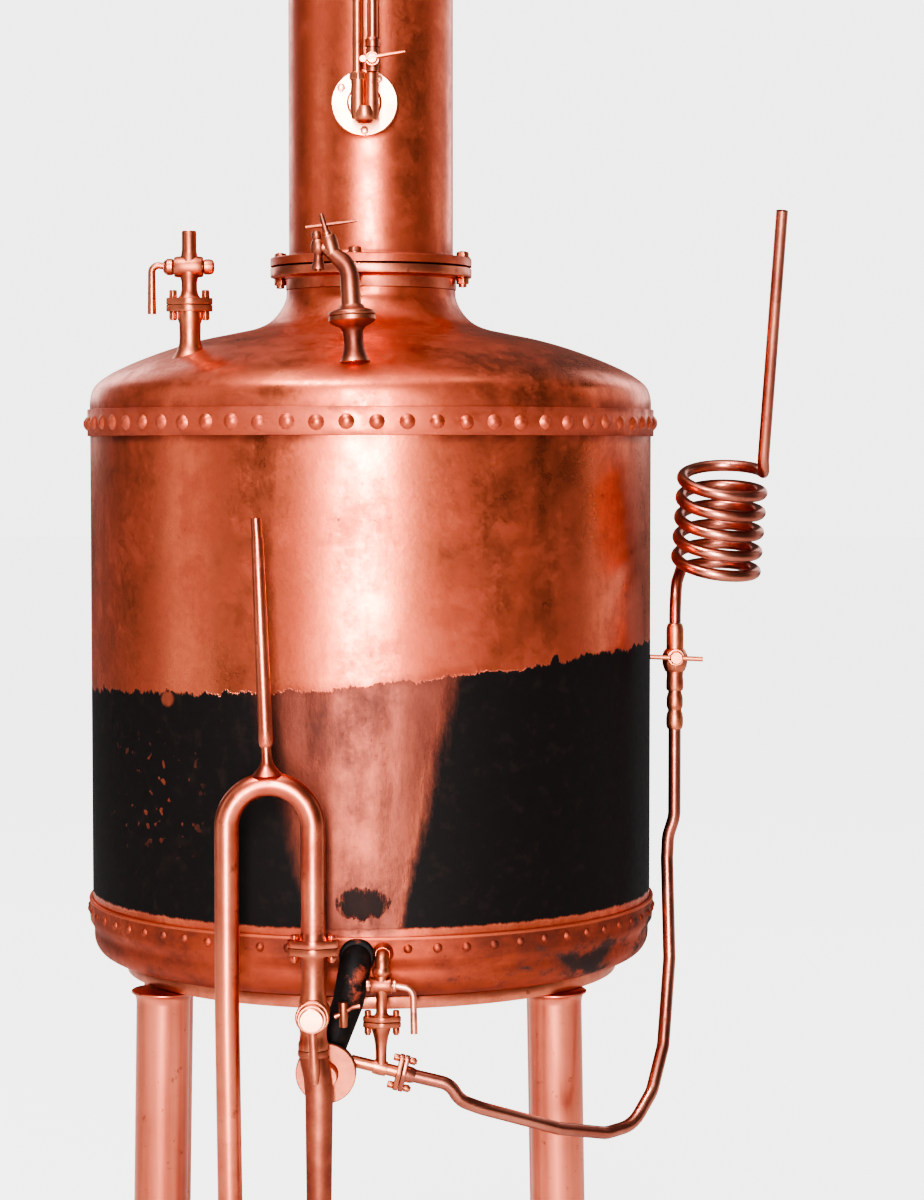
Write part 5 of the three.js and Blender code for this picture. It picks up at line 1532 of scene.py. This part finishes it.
key.pipe(
    [key_stance @ (Vector(p) / 1000) for p in ((-8.4, -0.8, 14), (10, 2.4, 14), (30, 5.8, 14), (31, 6, 14))],
    [2.2, 2.2, 2.0, 1.8, 1.3], sides=16,
)
key.turned(
    [(0, 11.6), (3, 11.6), (3.6, 12.4), (3.6, 15.8), (3, 16.6), (0, 16.6)],
    key_stance @ Vector((-0.0084, -0.0008, 0)), FRONT, steps=28,
)
finish_piece("column_cock_key", key, cock_metal, "brass", "column_cock_plug", body="column_plug")

# %% [markdown]
# ### The return pipe
# What condenses in the head runs back down this pipe. It is drawn up from a ferrule and over a
# bend, and ends in a small collar against the column's head.

# %% Return pipe
back_route = bends([at(CX, CY, 1352.3), at(CX, CY, 1580), at(CX * 0.4, -66, 1580)], 22, steps=12)
back = Bench().pipe(back_route, 5.2, sides=28)
back.turned([(0, 0), (6.8, 0), (7, 1), (7, 6), (6.4, 7.4), (5.3, 9), (0, 9)], at(CX, CY, 1352.3), steps=36)
back.turned([(0, 0), (10, 0), (8.4, 2.4), (6, 5), (0, 5)], at(CX * 0.45, -72.5, 1580), FRONT, steps=36)
finish_piece("return_pipe", back, pipe_copper, "copper", "reflux_pipe")

# %% [markdown]
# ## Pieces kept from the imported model
# The false bottom, column plates, their tie rod and the gaskets are inside or thin. Their
# shapes are right already, so they only take a finish.

# %% Finishes on kept nodes
KEPT = {
    "false_bottom": pan_copper, "plate_tie_rod": cock_metal, "neck_gasket": gasket,
    "head_gasket": gasket,
}
KEPT.update({f"column_plate_{i}": pan_copper for i in (1, 2, 3)})
for name, material in KEPT.items():
    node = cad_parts[name]
    node.data.materials.clear()
    node.data.materials.append(material)
shown = [name for name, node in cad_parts.items() if not node.hide_render]
print("kept nodes:", sorted(shown), "replaced by", len(made), "pieces")

# %% [markdown]
# ## Studio
# The still stands on a plain pale floor in soft light. A tall light behind the camera, a
# little to the left, draws the broad upright highlight on the drum. The world is a pale, even
# white, and dimmer for reflections than for the eye, so the copper keeps its depth.

# %% Floor
STUDIO_WHITE = (0.93, 0.915, 0.90, 1)
FLOOR_RADIUS = 30
floor_part = bmesh.new()
bmesh.ops.create_circle(floor_part, cap_ends=True, segments=96, radius=FLOOR_RADIUS)
floor_mesh = bpy.data.meshes.new("studio_floor")
floor_part.to_mesh(floor_mesh)
floor_part.free()
floor = bpy.data.objects.new("studio_floor", floor_mesh)
bpy.context.scene.collection.objects.link(floor)
pale = Finish("pale_floor", Specular_IOR_Level=0.2)
tone = pale.mix(pale.noise(1.5, detail=3.0), (0.80, 0.785, 0.77, 1), (0.84, 0.825, 0.81, 1))
pale.feed(Base_Color=tone, Roughness=0.85 + pale.noise(40.0) * 0.1)
pale.second_shader(
    pale.node("ShaderNodeLightPath", out="Is Camera Ray") * 0.8,
    Base_Color=(0, 0, 0, 1), Emission_Color=STUDIO_WHITE, Emission_Strength=2.6,
)
floor_mesh.materials.append(pale.material)
floor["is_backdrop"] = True
print("floor radius", FLOOR_RADIUS, "m")


# %% [markdown]
# ### Light
# Copper shows what is round it, so the lights are few and large. The tall window makes the
# highlight, the fills keep the sides from going black, and the high key gives the lid its
# shape. Each light is aimed at a point on the still.

# %% Lights and world
def soft_light(name, place, target, width, height, power):
    light = bpy.data.lights.new(name, "AREA")
    light.shape = "RECTANGLE"
    light.size, light.size_y, light.energy = width, height, power
    lamp = bpy.data.objects.new(name, light)
    lamp.location = place
    lamp.rotation_mode = "QUATERNION"
    lamp.rotation_quaternion = (target - place).to_track_quat("-Z", "Y")
    bpy.context.scene.collection.objects.link(lamp)
    return lamp


# where each light stands, what it is aimed at, its width, height and power
middle_height = at(0, 0, 900)
LIGHTS = {
    "tall_window": (at(-150, -4300, 1500), middle_height, 0.46, 2.9, 330),
    "overhead": (at(-300, -600, 4200), at(0, 0, 700), 3.2, 3.2, 75),
    "left_fill": (at(-3300, -900, 1600), middle_height, 1.6, 2.8, 13),
    "back_left": (at(-1900, 3200, 2200), middle_height, 1.6, 2.4, 30),
    "back_right": (at(2200, 3200, 2200), middle_height, 1.6, 2.4, 24),
    "right_fill": (at(3200, 1300, 1300), middle_height, 2.0, 2.8, 14),
    "high_key": (at(-780, -1650, 3700), at(0, -80, 1150), 0.5, 0.5, 95),
}
for name, settings in LIGHTS.items():
    soft_light(name, *settings)
SEEN_STRENGTH, CAST_STRENGTH = 2.2, 0.13
world = bpy.data.worlds.new("pale_studio")
bpy.context.scene.world = world
sky = NodeTree(world)
eye = sky.node("ShaderNodeLightPath", out="Is Camera Ray")
cast = sky.node("ShaderNodeBackground", {}, {"Color": (1.0, 0.985, 0.97, 1), "Strength": CAST_STRENGTH})
seen = sky.node("ShaderNodeBackground", {}, {"Color": STUDIO_WHITE, "Strength": SEEN_STRENGTH})
both = sky.node("ShaderNodeMixShader", {}, {0: eye, 1: cast, 2: seen})
sky.node("ShaderNodeOutputWorld", {}, {0: both})
print("soft lights:", len(LIGHTS), "and a pale world")

# %% [markdown]
# ### Camera
# The camera stands a little above the middle of the pot and looks slightly down. Its lens is
# long, so the drum's ellipses stay flat and the legs stay upright.

# %% Camera
bpy.context.scene.view_settings.look = "AgX - High Contrast"
bpy.context.scene.view_settings.exposure = -0.15
LOOKING_DOWN = 2.96
camera = bpy.data.objects.new("camera", bpy.data.cameras.new("camera"))
camera.data.lens = 87
camera.data.sensor_width = 36
camera.location = at(90.5, -2900, 971)
camera.rotation_euler = (math.radians(90 - LOOKING_DOWN), 0, 0)
bpy.context.scene.collection.objects.link(camera)
bpy.context.scene.camera = camera
print("camera at", [round(v, 3) for v in camera.location])

# %% Sizes
visual_box = [list(corner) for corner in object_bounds()]
print("pieces from", [round(v, 4) for v in visual_box[0]], "to", [round(v, 4) for v in visual_box[1]])
